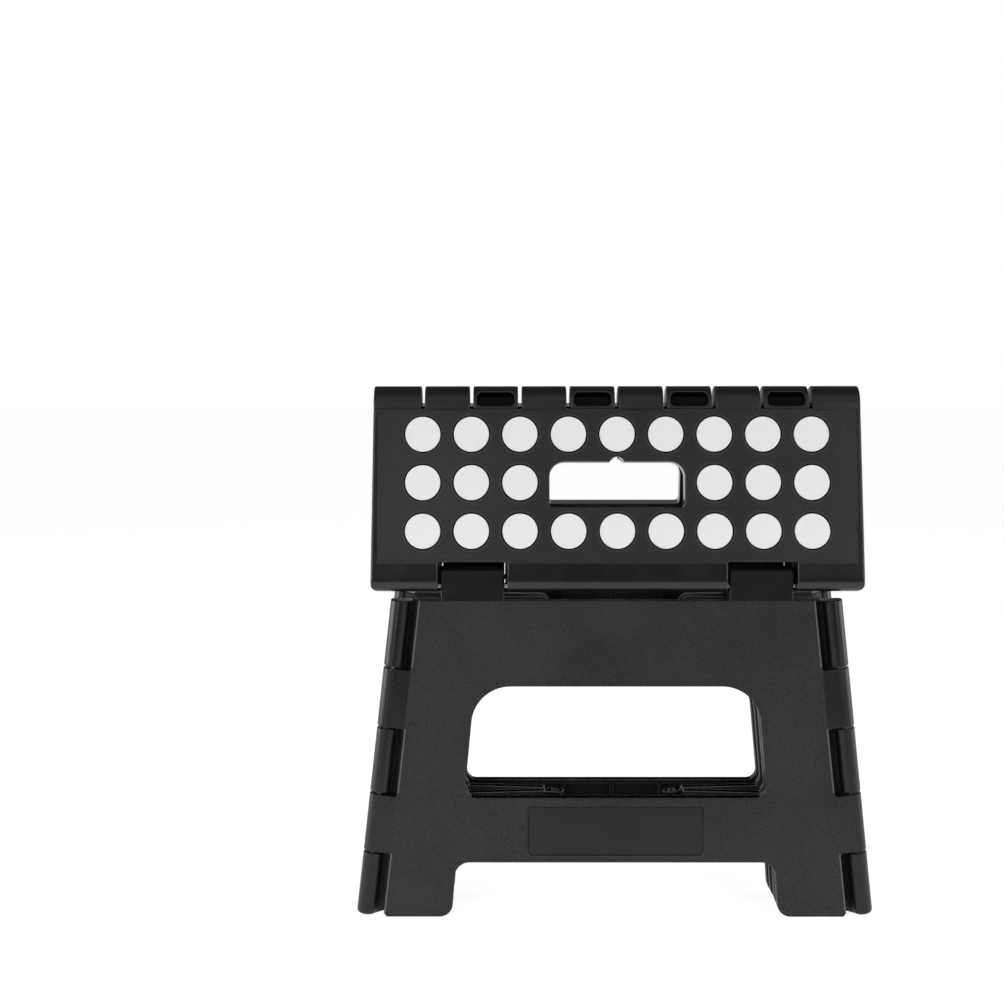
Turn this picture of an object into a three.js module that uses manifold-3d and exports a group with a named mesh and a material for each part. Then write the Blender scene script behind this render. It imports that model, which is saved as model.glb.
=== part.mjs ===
// Folding step stool, modelled folded and standing on its feet.
// Millimetres. X to the right, Y from front to back, Z up. The origin is on the floor,
// at the centre of the folded stool.
import * as THREE from 'three';
import * as BufferGeometryUtils from 'three/addons/utils/BufferGeometryUtils.js';
import Module from 'manifold-3d';

const wasm = await Module();
wasm.setup();

// ---------------------------------------------------------------- driving dimensions
const LINK = 110.0; // distance between hinge axes, on the deck halves and on the side halves
const AXIS_Y = 18.6; // half distance between the front and rear hinge axes when folded
const FOLD = Math.asin(AXIS_Y / LINK); // lean of the deck halves when folded
const LEG_HINGE_Z = 206.2; // height of the deck to leg hinge axis
const CENTRE_Z = LEG_HINGE_Z + LINK * Math.cos(FOLD); // height of the deck centre hinge, folded

const GAP = 0.3; // clearance between neighbouring pieces

// deck halves, in (x, u, h): u from the centre hinge to the outer edge, h above the axes
const DECK_TOP = 12.3;
const DECK_SKIN = 3.0;
const DECK_HALF_IN = 147.6; // half width at the centre hinge
const DECK_HALF_OUT = 149.2; // half width at the outer edge
const DECK_EDGE = 113.4; // u of the outer edge
const DECK_NOSE = 8.0; // rounding of the outer edge
const DECK_SKIRT = -7.0; // h of the skirt's lower edge
const BARREL_R = 12.3; // fingers of the centre hinge
const BARREL_CUT = 12.65;
const PITCH = 29.4; // finger pitch and dot pitch
const FINGER_GAP = 2.2;
const CENTRE_ROD_R = 2.0;
const PIN_R = 1.75;
const SLOT_HALF = 40.9;
const SLOT_U0 = 35.2;
const SLOT_U1 = 62.8;
const SLOT_R_IN = 9.0;
const SLOT_R_OUT = 2.2;
const HANG_R = 4.6;
const NOTCH_X0 = 66.4;
const NOTCH_X1 = 108.65;
const NOTCH_U = 95.9;
const DOT_R = 10.75;
const DOT_U0 = 18.45;
const DOT_TOP = 12.8;
const RUNNER_H0 = 7.8;
const RUNNER_H1 = 9.0;
const RUNNER_W = 6.0;

// leg panels
const LEG_FACE_Y = 24.8; // outer face
const LEG_THICK = 7.0;
const LEG_SKIN = 3.2;
const LEG_TOP = 198.0;
const EDGE_X0 = 160.5; // outer edge of the leg at the floor
const EDGE_SLOPE = 0.1158; // how much the edge comes in for each unit of height
const SLANT = Math.atan(EDGE_SLOPE);
const SIDE_BARREL_R = 6.2;
const NOTCH_DEPTH = 17.2; // side notch, measured from the outer edge
const BARREL_ZONES = [[0.7, 40.1], [78.4, 118.5], [156.9, 197.7]]; // on the side halves
const BLOCK_ZONES = [[41.3, 77.3], [119.6, 155.8]]; // on the leg panels
const OPEN_Z0 = 75.3;
const OPEN_Z1 = 144.9;
const OPEN_HALF = 91.8; // half width of the opening at z = 87.8
const OPEN_SLOPE = 0.0958;
const ARCH_Z = 34.5;
const LABEL_HALF = 53.8;
const LABEL_Z0 = 39.1;
const LABEL_Z1 = 69.6;
const LABEL_DEEP = 0.5;
const LUG_X0 = 68.3;
const LUG_X1 = 106.9;
const LUG_R = 6.2; // half thickness and top rounding of the lug
const LUG_CREST = 12.3; // above the hinge axis

// side halves
const SIDE_THICK = 6.0;
const SIDE_SKIN = 2.6;
const SIDE_TOP = 197.6;
const KNUCKLE_R = 5.6;
const KNUCKLE_CLEAR = 6.6;
const KNUCKLES_A = [[36.6, 48.6], [61.8, 73.8], [157.6, 167.6]];
const KNUCKLES_B = [[49.2, 61.2], [147.0, 157.0], [168.2, 178.2]];

// ---------------------------------------------------------------- helpers
const solidOf = (geometry) => {
  const g = geometry.index ? geometry.toNonIndexed() : geometry.clone();
  g.deleteAttribute('normal');
  g.deleteAttribute('uv');
  const m = BufferGeometryUtils.mergeVertices(g, 1e-4);
  return new wasm.Manifold(new wasm.Mesh({
    numProp: 3,
    vertProperties: new Float32Array(m.attributes.position.array),
    triVerts: new Uint32Array(m.index.array),
  }));
};

const geometryOf = (solid) => {
  const mesh = solid.getMesh();
  const n = mesh.numProp;
  const count = mesh.vertProperties.length / n;
  const position = new Float32Array(count * 3);
  for (let i = 0; i < count; i++) {
    for (let k = 0; k < 3; k++) position[i * 3 + k] = mesh.vertProperties[i * n + k];
  }
  const g = new THREE.BufferGeometry();
  g.setAttribute('position', new THREE.BufferAttribute(position, 3));
  g.setIndex(new THREE.BufferAttribute(new Uint32Array(mesh.triVerts), 1));
  return g;
};

const join = (list) => list.reduce((a, b) => a.add(b));
const cut = (solid, list) => list.reduce((a, b) => a.subtract(b), solid);

const shapeOf = (points) => new THREE.Shape(points.map(([a, b]) => new THREE.Vector2(a, b)));

// an extrusion placed by the images of its two drawing axes, its depth axis and its origin
const placed = (shape, depth, ax, ay, az, origin, curveSegments = 6) => {
  const g = new THREE.ExtrudeGeometry(shape, { depth, bevelEnabled: false, curveSegments });
  g.applyMatrix4(new THREE.Matrix4().makeBasis(ax, ay, az).setPosition(origin));
  return solidOf(g);
};

const V = (x, y, z) => new THREE.Vector3(x, y, z);
const box = (x0, x1, y0, y1, z0, z1) => {
  const g = new THREE.BoxGeometry(x1 - x0, y1 - y0, z1 - z0);
  g.translate((x0 + x1) / 2, (y0 + y1) / 2, (z0 + z1) / 2);
  return solidOf(g);
};

// a cylinder from a to b
const rod = (a, b, r, segments) => {
  const d = new THREE.Vector3().subVectors(b, a);
  const g = new THREE.CylinderGeometry(r, r, d.length(), segments);
  g.applyQuaternion(new THREE.Quaternion().setFromUnitVectors(V(0, 1, 0), d.clone().normalize()));
  g.translate((a.x + b.x) / 2, (a.y + b.y) / 2, (a.z + b.z) / 2);
  return solidOf(g);
};

const arc = (cx, cy, r, a0, a1, steps) => {
  const out = [];
  for (let i = 0; i <= steps; i++) {
    const a = THREE.MathUtils.degToRad(a0 + ((a1 - a0) * i) / steps);
    out.push([cx + r * Math.cos(a), cy + r * Math.sin(a)]);
  }
  return out;
};

const mirrorX = (geometry) => {
  const g = geometry.clone();
  g.applyMatrix4(new THREE.Matrix4().makeScale(-1, 1, 1));
  const idx = g.index.array;
  for (let i = 0; i < idx.length; i += 3) {
    const t = idx[i + 1];
    idx[i + 1] = idx[i + 2];
    idx[i + 2] = t;
  }
  return g;
};

// ---------------------------------------------------------------- deck half
// Built flat: x across, y = -u, z = h, with the centre hinge axis along X at the origin.
const alongX = (points, x0, x1) =>
  placed(shapeOf(points.map(([u, h]) => [-u, h])), x1 - x0, V(0, 1, 0), V(0, 0, 1), V(1, 0, 0), V(x0, 0, 0));
const upward = (points, h0, h1) =>
  placed(shapeOf(points.map(([x, u]) => [x, -u])), h1 - h0, V(1, 0, 0), V(0, 1, 0), V(0, 0, 1), V(0, 0, h0));
const slab = (x0, x1, u0, u1, h0, h1) => box(x0, x1, -u1, -u0, h0, h1);

const segmentX = (i) => [
  i === 0 ? -DECK_HALF_IN : (i - 5) * PITCH,
  i === 9 ? DECK_HALF_IN : (i - 4) * PITCH,
];
const ownFingers = [1, 3, 5, 7, 9];
const otherFingers = [0, 2, 4, 6, 8];

const slotOutline = (grow) => {
  const w = SLOT_HALF + grow;
  const u0 = SLOT_U0 - grow;
  const u1 = SLOT_U1 + grow;
  const ri = SLOT_R_IN + grow;
  const ro = SLOT_R_OUT + grow;
  const hr = HANG_R + grow;
  return [
    ...arc(w - ri, u0 + ri, ri, -90, 0, 3),
    ...arc(w - ro, u1 - ro, ro, 0, 90, 2),
    ...arc(-w + ro, u1 - ro, ro, 90, 180, 2),
    ...arc(-w + ri, u0 + ri, ri, 180, 270, 3),
    ...arc(0, SLOT_U0 + 1.5, hr, 180 + 20, 360 - 20, 4),
  ];
};

const dots = [];
for (let row = 0; row < 3; row++) {
  for (let col = -4; col <= 4; col++) {
    if (row === 1 && Math.abs(col) < 2) continue;
    dots.push([col * PITCH, DOT_U0 + row * PITCH]);
  }
}
const dotDisc = (x, u, r, h0, h1) => {
  const g = new THREE.CylinderGeometry(r, r, h1 - h0, 10);
  g.rotateX(Math.PI / 2);
  g.translate(x, -u, (h0 + h1) / 2);
  return solidOf(g);
};
const runners = (g, h0, h1) => {
  const w = RUNNER_W / 2 + g;
  const rowU = [DOT_U0 + 2.2, DOT_U0 + PITCH, DOT_U0 + 2 * PITCH];
  const bars = [
    slab(-4 * PITCH - g, 4 * PITCH + g, rowU[0] - w, rowU[0] + w, h0, h1),
    slab(-4 * PITCH - g, 4 * PITCH + g, rowU[2] - w, rowU[2] + w, h0, h1),
  ];
  for (const s of [-1, 1]) {
    const a = s * 4 * PITCH;
    const b = s * 2 * PITCH;
    bars.push(slab(Math.min(a, b) - g, Math.max(a, b) + g, rowU[1] - w, rowU[1] + w, h0, h1));
    bars.push(slab(s * 3 * PITCH - w, s * 3 * PITCH + w, rowU[0] - g, rowU[2] + g, h0, h1));
  }
  return bars;
};

const deckHalf = () => {
  const lean = Math.tan(FOLD);
  const crest = 90 - THREE.MathUtils.radToDeg(FOLD);
  const nose = [90, crest, crest * 0.64, crest * 0.3, 0]
    .flatMap((a) => arc(DECK_EDGE - DECK_NOSE, DECK_TOP - DECK_NOSE, DECK_NOSE, a, a, 1).slice(0, 1));
  const uFlat = (0.7 - DECK_SKIRT) / lean;
  let deck = alongX(
    [[2.4, 0.7 - 2.4 * lean], [2.4, DECK_TOP], ...nose, [DECK_EDGE, DECK_SKIRT], [uFlat, DECK_SKIRT]],
    -DECK_HALF_OUT, DECK_HALF_OUT,
  );
  // plan outline, slightly wider at the outer edge
  deck = deck.intersect(upward([
    [-DECK_HALF_IN, -1], [DECK_HALF_IN, -1], [DECK_HALF_OUT, DECK_EDGE + 1], [-DECK_HALF_OUT, DECK_EDGE + 1],
  ], -30, 30));
  // ribbed underside
  const skinH = DECK_TOP - DECK_SKIN;
  const wall = DECK_HALF_IN - 3.0;
  const ribX = [1.5 * PITCH, 3.5 * PITCH];
  const ribU = [15, 33.2, 62.6, 93.9];
  const t = 1.0;
  const pockets = [];
  const pocket = (x0, x1, u0, u1, h = skinH) => pockets.push(slab(x0, x1, u0, u1, -20, h));
  const sides = (x0, x1, u0, u1, h) => {
    pocket(x0, x1, u0, u1, h);
    pocket(-x1, -x0, u0, u1, h);
  };
  pocket(-ribX[0] + t, ribX[0] - t, ribU[0] + t, ribU[1] - t);
  pocket(-ribX[0] + t, ribX[0] - t, ribU[1] + t, SLOT_U1 + 1.2, 2.0);
  pocket(-ribX[0] + t, ribX[0] - t, SLOT_U1 + 2.4, ribU[3] - t);
  pocket(-ribX[0] + t, ribX[0] - t, ribU[3] + t, DECK_EDGE - 2.6);
  for (let r = 0; r < 3; r++) {
    sides(ribX[0] + t, ribX[1] - t, ribU[r] + t, ribU[r + 1] - t);
    sides(ribX[1] + t, wall, ribU[r] + t, ribU[r + 1] - t);
  }
  sides(ribX[0] + t, NOTCH_X0 - 8.0, ribU[3] + t, DECK_EDGE - 2.6);
  sides(NOTCH_X1 + 8.0, wall, ribU[3] + t, DECK_EDGE - 2.6);
  // the ribs are low where the side halves stand under the open deck
  sides(118, wall, ribU[0] + t, ribU[3] + 6, 2.4);
  deck = cut(deck, pockets);
  // clear the other half's fingers
  const ring = (r) => arc(0, 0, r, 90, 90 + 360 * 15 / 16, 15);
  deck = cut(deck, otherFingers.map((i) => {
    const [a, b] = segmentX(i);
    return alongX(ring(BARREL_CUT), i === 0 ? a - 2 : a - FINGER_GAP / 2, b + FINGER_GAP / 2);
  }));
  // hinge fingers, each but the end one with a window underneath
  const windows = [];
  for (const i of ownFingers) {
    const [a, b] = segmentX(i);
    const x0 = a + FINGER_GAP / 2;
    const x1 = i === 9 ? b : b - FINGER_GAP / 2;
    deck = deck.add(alongX([
      ...arc(0, 0, BARREL_R, 90, crest + 90, 4), ...arc(0, 0, BARREL_R, crest + 90, 345, 8).slice(1), [13, -1.2], [13, DECK_TOP],
    ], x0, x1));
    if (i !== 9) {
      const w = 2.6;
      const r = BARREL_R - 2.2;
      windows.push(alongX([[-r, -20], [-2.7, -20], [-2.7, 6.4], [-6.8, 6.4], [-r, 2.4]], x0 + w, x1 - w));
    }
  }
  // openings
  const openings = [
    ...windows,
    upward(slotOutline(0), -20, 20),
    ...[-1, 1].map((s) => slab(Math.min(s * NOTCH_X0, s * NOTCH_X1), Math.max(s * NOTCH_X0, s * NOTCH_X1), NOTCH_U, DECK_EDGE + 5, -20, 20)),
    ...dots.map(([x, u]) => dotDisc(x, u, DOT_R + GAP, RUNNER_H0 - GAP, 20)),
    ...runners(GAP, RUNNER_H0 - GAP, skinH + 0.05),
    rod(V(-DECK_HALF_IN + 5.7, 0, 0), V(DECK_HALF_IN - 5.7, 0, 0), CENTRE_ROD_R + GAP, 10),
  ];
  for (const s of [-1, 1]) {
    const a = s * (NOTCH_X0 - 6.5);
    const b = s * (NOTCH_X1 + 6.5);
    openings.push(rod(V(Math.min(a, b), -LINK, 0), V(Math.max(a, b), -LINK, 0), PIN_R + GAP, 12));
  }
  return geometryOf(cut(deck, openings));
};

// relieved along the hinge, where the other half's fingers turn
const gripPad = () => geometryOf(join([
  ...dots.map(([x, u]) => dotDisc(x, u, DOT_R, RUNNER_H0, DOT_TOP)),
  ...runners(0, RUNNER_H0, RUNNER_H1),
]).subtract(slab(-DECK_HALF_IN, DECK_HALF_IN, 0, 9.95, 0, 10.05)));

// ---------------------------------------------------------------- leg panel
// Front panel in place: drawn in the X-Z plane, outer face at Y = -LEG_FACE_Y.
const edgeX = (z) => EDGE_X0 - EDGE_SLOPE * z;
const axisX = (z) => edgeX(z) - SIDE_BARREL_R / Math.cos(SLANT);
const notchX = (z) => edgeX(z) - NOTCH_DEPTH;
const throughY = (points, y0, y1) =>
  placed(shapeOf(points), y1 - y0, V(1, 0, 0), V(0, 0, 1), V(0, -1, 0), V(0, y1, 0));
const openX = (z) => OPEN_HALF - OPEN_SLOPE * (z - 87.8);

const openingOutline = (grow) => {
  const z0 = OPEN_Z0 - grow;
  const z1 = OPEN_Z1 + grow;
  const tilt = THREE.MathUtils.radToDeg(Math.atan(OPEN_SLOPE));
  const rt = 24.0 + grow;
  const rb = 6.2 + grow;
  const x = (z) => openX(z) + grow;
  const cxT = x(z1 - rt) - rt * 1.004;
  const cxB = x(z0 + rb) - rb * 1.004;
  const right = [
    ...arc(cxB, z0 + rb, rb, -90, tilt, 3),
    ...arc(cxT, z1 - rt, rt, tilt, 90, 5),
  ];
  return [...right, ...right.map(([a, b]) => [-a, b]).reverse()];
};
const archOutline = (grow) => {
  const half = [[109.6 + grow, -1 - grow], [108.8 + grow, 0], [106.2 + grow, 1.4], [103.4 + grow, 4.2], [101.2 + grow, 8.4],
    [99.4 + grow, 25.8], [97.6 + grow, 30.2], [94.6 + grow, 33.2 + grow], [90.4, ARCH_Z + grow]];
  return [...half, ...half.map(([a, b]) => [-a, b]).reverse()];
};

// frame of a leg to side hinge on the left: n inwards, q towards the middle plane, d up the axis
const N = V(Math.cos(SLANT), 0, -Math.sin(SLANT));
const Q = V(0, 1, 0);
const D = V(Math.sin(SLANT), 0, Math.cos(SLANT));
const axisPoint = (z) => V(-axisX(z), -AXIS_Y, z);
const alongAxis = (points, z0, z1) => {
  const from = axisPoint(z0);
  const length = (z1 - z0) / Math.cos(SLANT);
  return placed(shapeOf(points), length, N, Q, D, from);
};
const axisRod = (z0, z1, r, segments) => rod(axisPoint(z0), axisPoint(z1), r, segments);

const bothSides = (solid) => [solid, solidOf(mirrorX(geometryOf(solid)))];

const legPanel = () => {
  const yOut = -LEG_FACE_Y;
  const yIn = -LEG_FACE_Y + LEG_THICK;
  const z = LEG_TOP;
  const outline = [
    [notchX(0) - 2.0, 0], [notchX(2.2), 2.2], [notchX(z - 0.8), z - 0.8], [notchX(z) - 0.8, z],
  ];
  let panel = throughY([
    ...outline, ...outline.map(([a, b]) => [-a, b]).reverse(),
  ], yOut, yIn);
  // half-round blocks that carry the side rods
  const block = [
    [12.0, -SIDE_BARREL_R],
    ...arc(0, 0, SIDE_BARREL_R, 270, 7.5, 11),
    [12.0, LEG_THICK - SIDE_BARREL_R],
  ];
  for (const [z0, z1] of BLOCK_ZONES) panel = join([panel, ...bothSides(alongAxis(block, z0, z1))]);
  // hinge lugs
  const lug = [
    [yOut, LEG_TOP - 1.5], ...arc(-AXIS_Y, LEG_HINGE_Z + LUG_CREST - LUG_R, LUG_R, 180, 0, 8),
    [-AXIS_Y + LUG_R, LEG_TOP + GAP], [yIn - 0.5, LEG_TOP + GAP], [yIn - 0.5, LEG_TOP - 1.5],
  ];
  const lugs = placed(shapeOf(lug), LUG_X1 - LUG_X0, V(0, 1, 0), V(0, 0, 1), V(1, 0, 0), V(LUG_X0, 0, 0));
  panel = join([panel, ...bothSides(lugs)]);
  // opening, arch between the feet, bare label recess
  const cuts = [
    throughY(openingOutline(0), yOut - 5, yIn + 5),
    throughY(archOutline(0), yOut - 5, yIn + 5),
    box(-LABEL_HALF, LABEL_HALF, yOut - 1, yOut + LABEL_DEEP, LABEL_Z0, LABEL_Z1),
  ];
  // ribbed inner side
  const y0 = yOut + LEG_SKIN;
  const pocket = (points) => cuts.push(throughY(points, y0, yIn + 0.2 + 5));
  const inward = (zz) => notchX(zz) - 2.4;
  const colIn = (zz) => openX(zz) + 2.6;
  for (const s of [-1, 1]) {
    const quad = (z0, z1, a, b) => {
      const p = [[a(z0), z0], [b(z0), z0], [b(z1), z1], [a(z1), z1]].map(([x, zz]) => [s * x, zz]);
      pocket(s > 0 ? p : p.reverse());
    };
    // columns beside the opening and the feet
    quad(76.5, 98.5, (zz) => colIn(zz), inward);
    quad(100.5, 122.5, (zz) => colIn(zz), inward);
    quad(3.0, 18.0, () => 109.5, inward);
    quad(20.0, 33.5, () => 103.5, inward);
    // lower bar
    quad(37.0, 54.5, () => 92.5, (zz) => inward(zz));
    quad(56.5, 72.8, () => 92.5, (zz) => inward(zz));
    quad(37.0, 54.5, () => 62.0, () => 90.5);
    quad(56.5, 72.8, () => 62.0, () => 90.5);
    quad(37.0, 72.8, () => 32.0, () => 60.0);
    quad(37.0, 72.8, () => 1.0, () => 30.0);
    // upper bar
    quad(124.5, 146.0, () => 90.5, inward);
    quad(148.0, 170.0, () => 92.0, inward);
    quad(172.0, 195.6, () => 92.0, inward);
    quad(148.0, 170.0, () => 62.0, () => 90.0);
    quad(172.0, 195.6, () => 62.0, () => 90.0);
    quad(148.0, 170.0, () => 32.0, () => 60.0);
    quad(172.0, 195.6, () => 32.0, () => 60.0);
    quad(148.0, 170.0, () => 1.0, () => 30.0);
    quad(172.0, 195.6, () => 1.0, () => 30.0);
  }
  // bores
  cuts.push(...bothSides(axisRod(-2, 195.2, PIN_R + GAP, 12)));
  cuts.push(rod(V(-LUG_X1 - 1, -AXIS_Y, LEG_HINGE_Z), V(LUG_X1 + 1, -AXIS_Y, LEG_HINGE_Z), PIN_R + GAP, 12));
  return geometryOf(cut(panel, cuts));
};

// ---------------------------------------------------------------- side half
// Left front half in place; own and other give the heights of the middle knuckles.
const SPAN_N = LINK * Math.cos(FOLD);
const SPAN_Q = AXIS_Y;
const faceO = (n) => 8.1 + 0.0932 * n;
const faceI = (n) => faceO(n) - SIDE_THICK;

const sideHalf = (own, other) => {
  const nEnd = SPAN_N - KNUCKLE_CLEAR;
  const plate = [[6.9, faceI(6.9)], [nEnd, faceI(nEnd)], [nEnd, faceO(nEnd)], [6.9, faceO(6.9)]];
  let side = alongAxis(plate, -14, 216);
  // outline shared with the leg panel
  const far = 200;
  side = cut(side, [
    throughY([[-far, SIDE_TOP], [-42, SIDE_TOP], [-33, 179.6], [60, 178.4], [60, 260], [-far, 260]], -60, 60),
    throughY(openingOutline(0.5), -60, 60),
    throughY([...archOutline(0.3)], -60, 60),
    box(-91, 60, -60, 60, OPEN_Z0 - 0.5, OPEN_Z0 + 12),
    box(-70, 60, -60, 60, OPEN_Z1 - 30, OPEN_Z1 + 0.5),
  ]);
  // ribbed inner side: pockets open towards the leg panel
  const pockets = [];
  const pocket = (points) => pockets.push(throughY(points, -60, 60));
  const inN = (a) => a;
  const cell = (x0, x1, z0, z1) => pocket([[x0, z0], [x1, z0], [x1, z1], [x0, z1]]);
  cell(-64, -46, 37.5, 72.6);
  cell(-90, -66, 37.5, 72.6);
  cell(-112, -92, 37.5, 54.5);
  cell(-112, -92, 56.5, 72.6);
  cell(-134, -114, 5.0, 34.0);
  cell(-134, -114, 37.5, 54.5);
  cell(-132, -114, 56.5, 72.6);
  cell(-128, -98, 79.0, 98.5);
  cell(-126, -98, 100.5, 122.5);
  cell(-122, -92, 148.0, 170.0);
  cell(-120, -92, 172.0, 195.0);
  cell(-90, -66, 148.0, 170.0);
  cell(-90, -66, 172.0, 195.0);
  cell(-64, -44, 148.0, 170.0);
  cell(-64, -46, 172.0, 195.0);
  const room = alongAxis([
    [11, faceI(11) - 20], [nEnd - 2.5, faceI(nEnd) - 20], [nEnd - 2.5, faceO(nEnd) - SIDE_SKIN], [11, faceO(11) - SIDE_SKIN],
  ], -14, 216);
  side = side.subtract(join(pockets).intersect(room));
  // barrels of the leg hinge
  const q = SIDE_BARREL_R - 0.1;
  const barrel = [
    ...arc(0, 0, q, 90, 340, 12),
    [9.4, faceI(9.4)], [9.4, faceO(9.4)],
  ];
  side = join([side, ...BARREL_ZONES.map(([z0, z1]) => alongAxis(barrel, z0, z1))]);
  // knuckles of the middle hinge; heights are measured where the knuckle is
  const drop = SPAN_N * Math.sin(SLANT);
  const knuckle = [
    ...arc(SPAN_N, SPAN_Q, KNUCKLE_R, -120, 170, 12),
    [nEnd - 1, faceO(nEnd - 1)], [nEnd - 1, faceI(nEnd - 1)],
  ];
  side = join([side, ...own.map(([z0, z1]) => alongAxis(knuckle, z0 + drop, z1 + drop))]);
  const bores = [
    axisRod(-2, 195.2, PIN_R + GAP, 12),
    rod(midPoint(30), midPoint(76), PIN_R + GAP, 12),
    rod(midPoint(145), midPoint(177.2), PIN_R + GAP, 12),
  ];
  return geometryOf(cut(side, [...bores, box(-far, 60, -60, 60, -60, 0.7)]));
};
// a point on the left middle hinge axis at height z
function midPoint(z) {
  return axisPoint(0).addScaledVector(N, SPAN_N).addScaledVector(Q, SPAN_Q)
    .addScaledVector(D, (z + SPAN_N * Math.sin(SLANT)) / Math.cos(SLANT));
}

// ---------------------------------------------------------------- materials
const plastic = () => new THREE.MeshStandardMaterial({ color: 0x2b2b2c, roughness: 0.62, metalness: 0.0 });
const rubber = () => new THREE.MeshStandardMaterial({ color: 0xe6e6e4, roughness: 0.7, metalness: 0.0 });
const steel = () => new THREE.MeshStandardMaterial({ color: 0xb9bbbd, roughness: 0.3, metalness: 1.0 });

// ---------------------------------------------------------------- assembly
const stool = new THREE.Group();
const add = (parent, name, geometry, material) => {
  const mesh = new THREE.Mesh(geometry, material);
  mesh.name = name;
  parent.add(mesh);
  return mesh;
};

const deckGeometry = deckHalf();
const padGeometry = gripPad();
const rodGeometry = geometryOf(rod(V(-DECK_HALF_IN + 6, 0, 0), V(DECK_HALF_IN - 6, 0, 0), CENTRE_ROD_R, 10));

const deckFront = new THREE.Group();
deckFront.position.set(0, 0, CENTRE_Z);
deckFront.rotation.x = Math.PI / 2 - FOLD;
add(deckFront, 'deck_front_half', deckGeometry, plastic());
add(deckFront, 'grip_pad_front', padGeometry, rubber());
add(deckFront, 'centre_hinge_rod', rodGeometry, steel());

const rearTurn = new THREE.Group();
rearTurn.rotation.z = Math.PI;
const deckRear = new THREE.Group();
deckRear.position.set(0, 0, CENTRE_Z);
deckRear.rotation.x = Math.PI / 2 - FOLD;
add(deckRear, 'deck_rear_half', deckGeometry, plastic());
add(deckRear, 'grip_pad_rear', padGeometry, rubber());
rearTurn.add(deckRear);

const legGeometry = legPanel();
const frontLegs = new THREE.Group();
add(frontLegs, 'front_leg_panel', legGeometry, plastic());
const rearLegs = new THREE.Group();
rearLegs.rotation.z = Math.PI;
add(rearLegs, 'rear_leg_panel', legGeometry, plastic());

const legPin = (s) => geometryOf(rod(
  V(s * (NOTCH_X0 - 6.2), -AXIS_Y, LEG_HINGE_Z), V(s * (NOTCH_X1 + 6.2), -AXIS_Y, LEG_HINGE_Z), PIN_R, 12));
const sideRod = geometryOf(axisRod(3.0, 194.8, PIN_R, 12));
const sideRodMirrored = mirrorX(sideRod);
for (const [group, name, flip] of [[frontLegs, 'front', 1], [rearLegs, 'rear', -1]]) {
  const left = flip > 0 ? 'left' : 'right';
  const right = flip > 0 ? 'right' : 'left';
  add(group, `leg_hinge_pin_${name}_${left}`, legPin(-1), steel());
  add(group, `leg_hinge_pin_${name}_${right}`, legPin(1), steel());
  add(group, `side_rod_${name}_${left}`, sideRod, steel());
  add(group, `side_rod_${name}_${right}`, sideRodMirrored, steel());
}

const sideA = sideHalf(KNUCKLES_A, KNUCKLES_B);
const sideB = sideHalf(KNUCKLES_B, KNUCKLES_A);
const midPinLow = geometryOf(rod(midPoint(37.2), midPoint(73.2), PIN_R, 12));
const midPinHigh = geometryOf(rod(midPoint(147.6), midPoint(176.8), PIN_R, 12));
add(stool, 'side_left_front', sideA, plastic());
add(stool, 'side_right_front', mirrorX(sideB), plastic());
const rearSides = new THREE.Group();
rearSides.rotation.z = Math.PI;
add(rearSides, 'side_right_rear', sideA, plastic());
add(rearSides, 'side_left_rear', mirrorX(sideB), plastic());
add(stool, 'side_pin_left_lower', midPinLow, steel());
add(stool, 'side_pin_left_upper', midPinHigh, steel());
add(stool, 'side_pin_right_lower', mirrorX(midPinLow), steel());
add(stool, 'side_pin_right_upper', mirrorX(midPinHigh), steel());

stool.add(deckFront, rearTurn, frontLegs, rearLegs, rearSides);
export default stool;
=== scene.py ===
"""Looks of the folding step stool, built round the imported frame.

Every plastic piece is a mesh made here: lofted prisms with rounded rims, turned barrels and pins,
cut and joined with the boolean modifier. Millimetres inside the shape code, metres on the objects.
"""
import math

import bmesh
import bpy
import numpy as np
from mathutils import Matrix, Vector


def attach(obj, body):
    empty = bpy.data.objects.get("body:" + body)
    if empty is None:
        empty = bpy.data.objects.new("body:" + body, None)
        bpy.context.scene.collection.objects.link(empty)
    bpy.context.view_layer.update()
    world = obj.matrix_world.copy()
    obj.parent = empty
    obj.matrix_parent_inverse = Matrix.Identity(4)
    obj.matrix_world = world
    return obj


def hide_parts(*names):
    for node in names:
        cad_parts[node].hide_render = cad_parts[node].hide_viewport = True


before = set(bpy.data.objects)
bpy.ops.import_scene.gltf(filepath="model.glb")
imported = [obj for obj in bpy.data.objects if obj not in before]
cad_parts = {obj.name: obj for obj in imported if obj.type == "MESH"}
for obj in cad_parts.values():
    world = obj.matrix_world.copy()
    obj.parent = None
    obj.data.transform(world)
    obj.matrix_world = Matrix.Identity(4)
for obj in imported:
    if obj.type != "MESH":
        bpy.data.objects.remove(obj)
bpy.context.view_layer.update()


scene = bpy.context.scene

# ------------------------------------------------------------------ dimensions, as in the frame
LINK = 110.0
AXIS_Y = 18.6
FOLD = math.asin(AXIS_Y / LINK)
LEG_HINGE_Z = 206.2
CENTRE_Z = LEG_HINGE_Z + LINK * math.cos(FOLD)

DECK_TOP = 12.3
DECK_SKIN = 3.0
DECK_HALF_IN = 147.6
DECK_HALF_OUT = 149.2
DECK_EDGE = 113.4
DECK_NOSE = 8.0
DECK_SKIRT = -7.0
BARREL_R = 12.3
BARREL_CUT = 12.65
PITCH = 29.4
FINGER_GAP = 2.2
SLOT_HALF = 40.9
SLOT_U0 = 35.2
SLOT_U1 = 62.8
NOTCH_X0 = 66.4
NOTCH_X1 = 108.65
NOTCH_U = 95.9
DOT_R = 10.6
DOT_HOLE_R = 11.25
DOT_U0 = 18.45
DOT_TOP = 12.62

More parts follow.
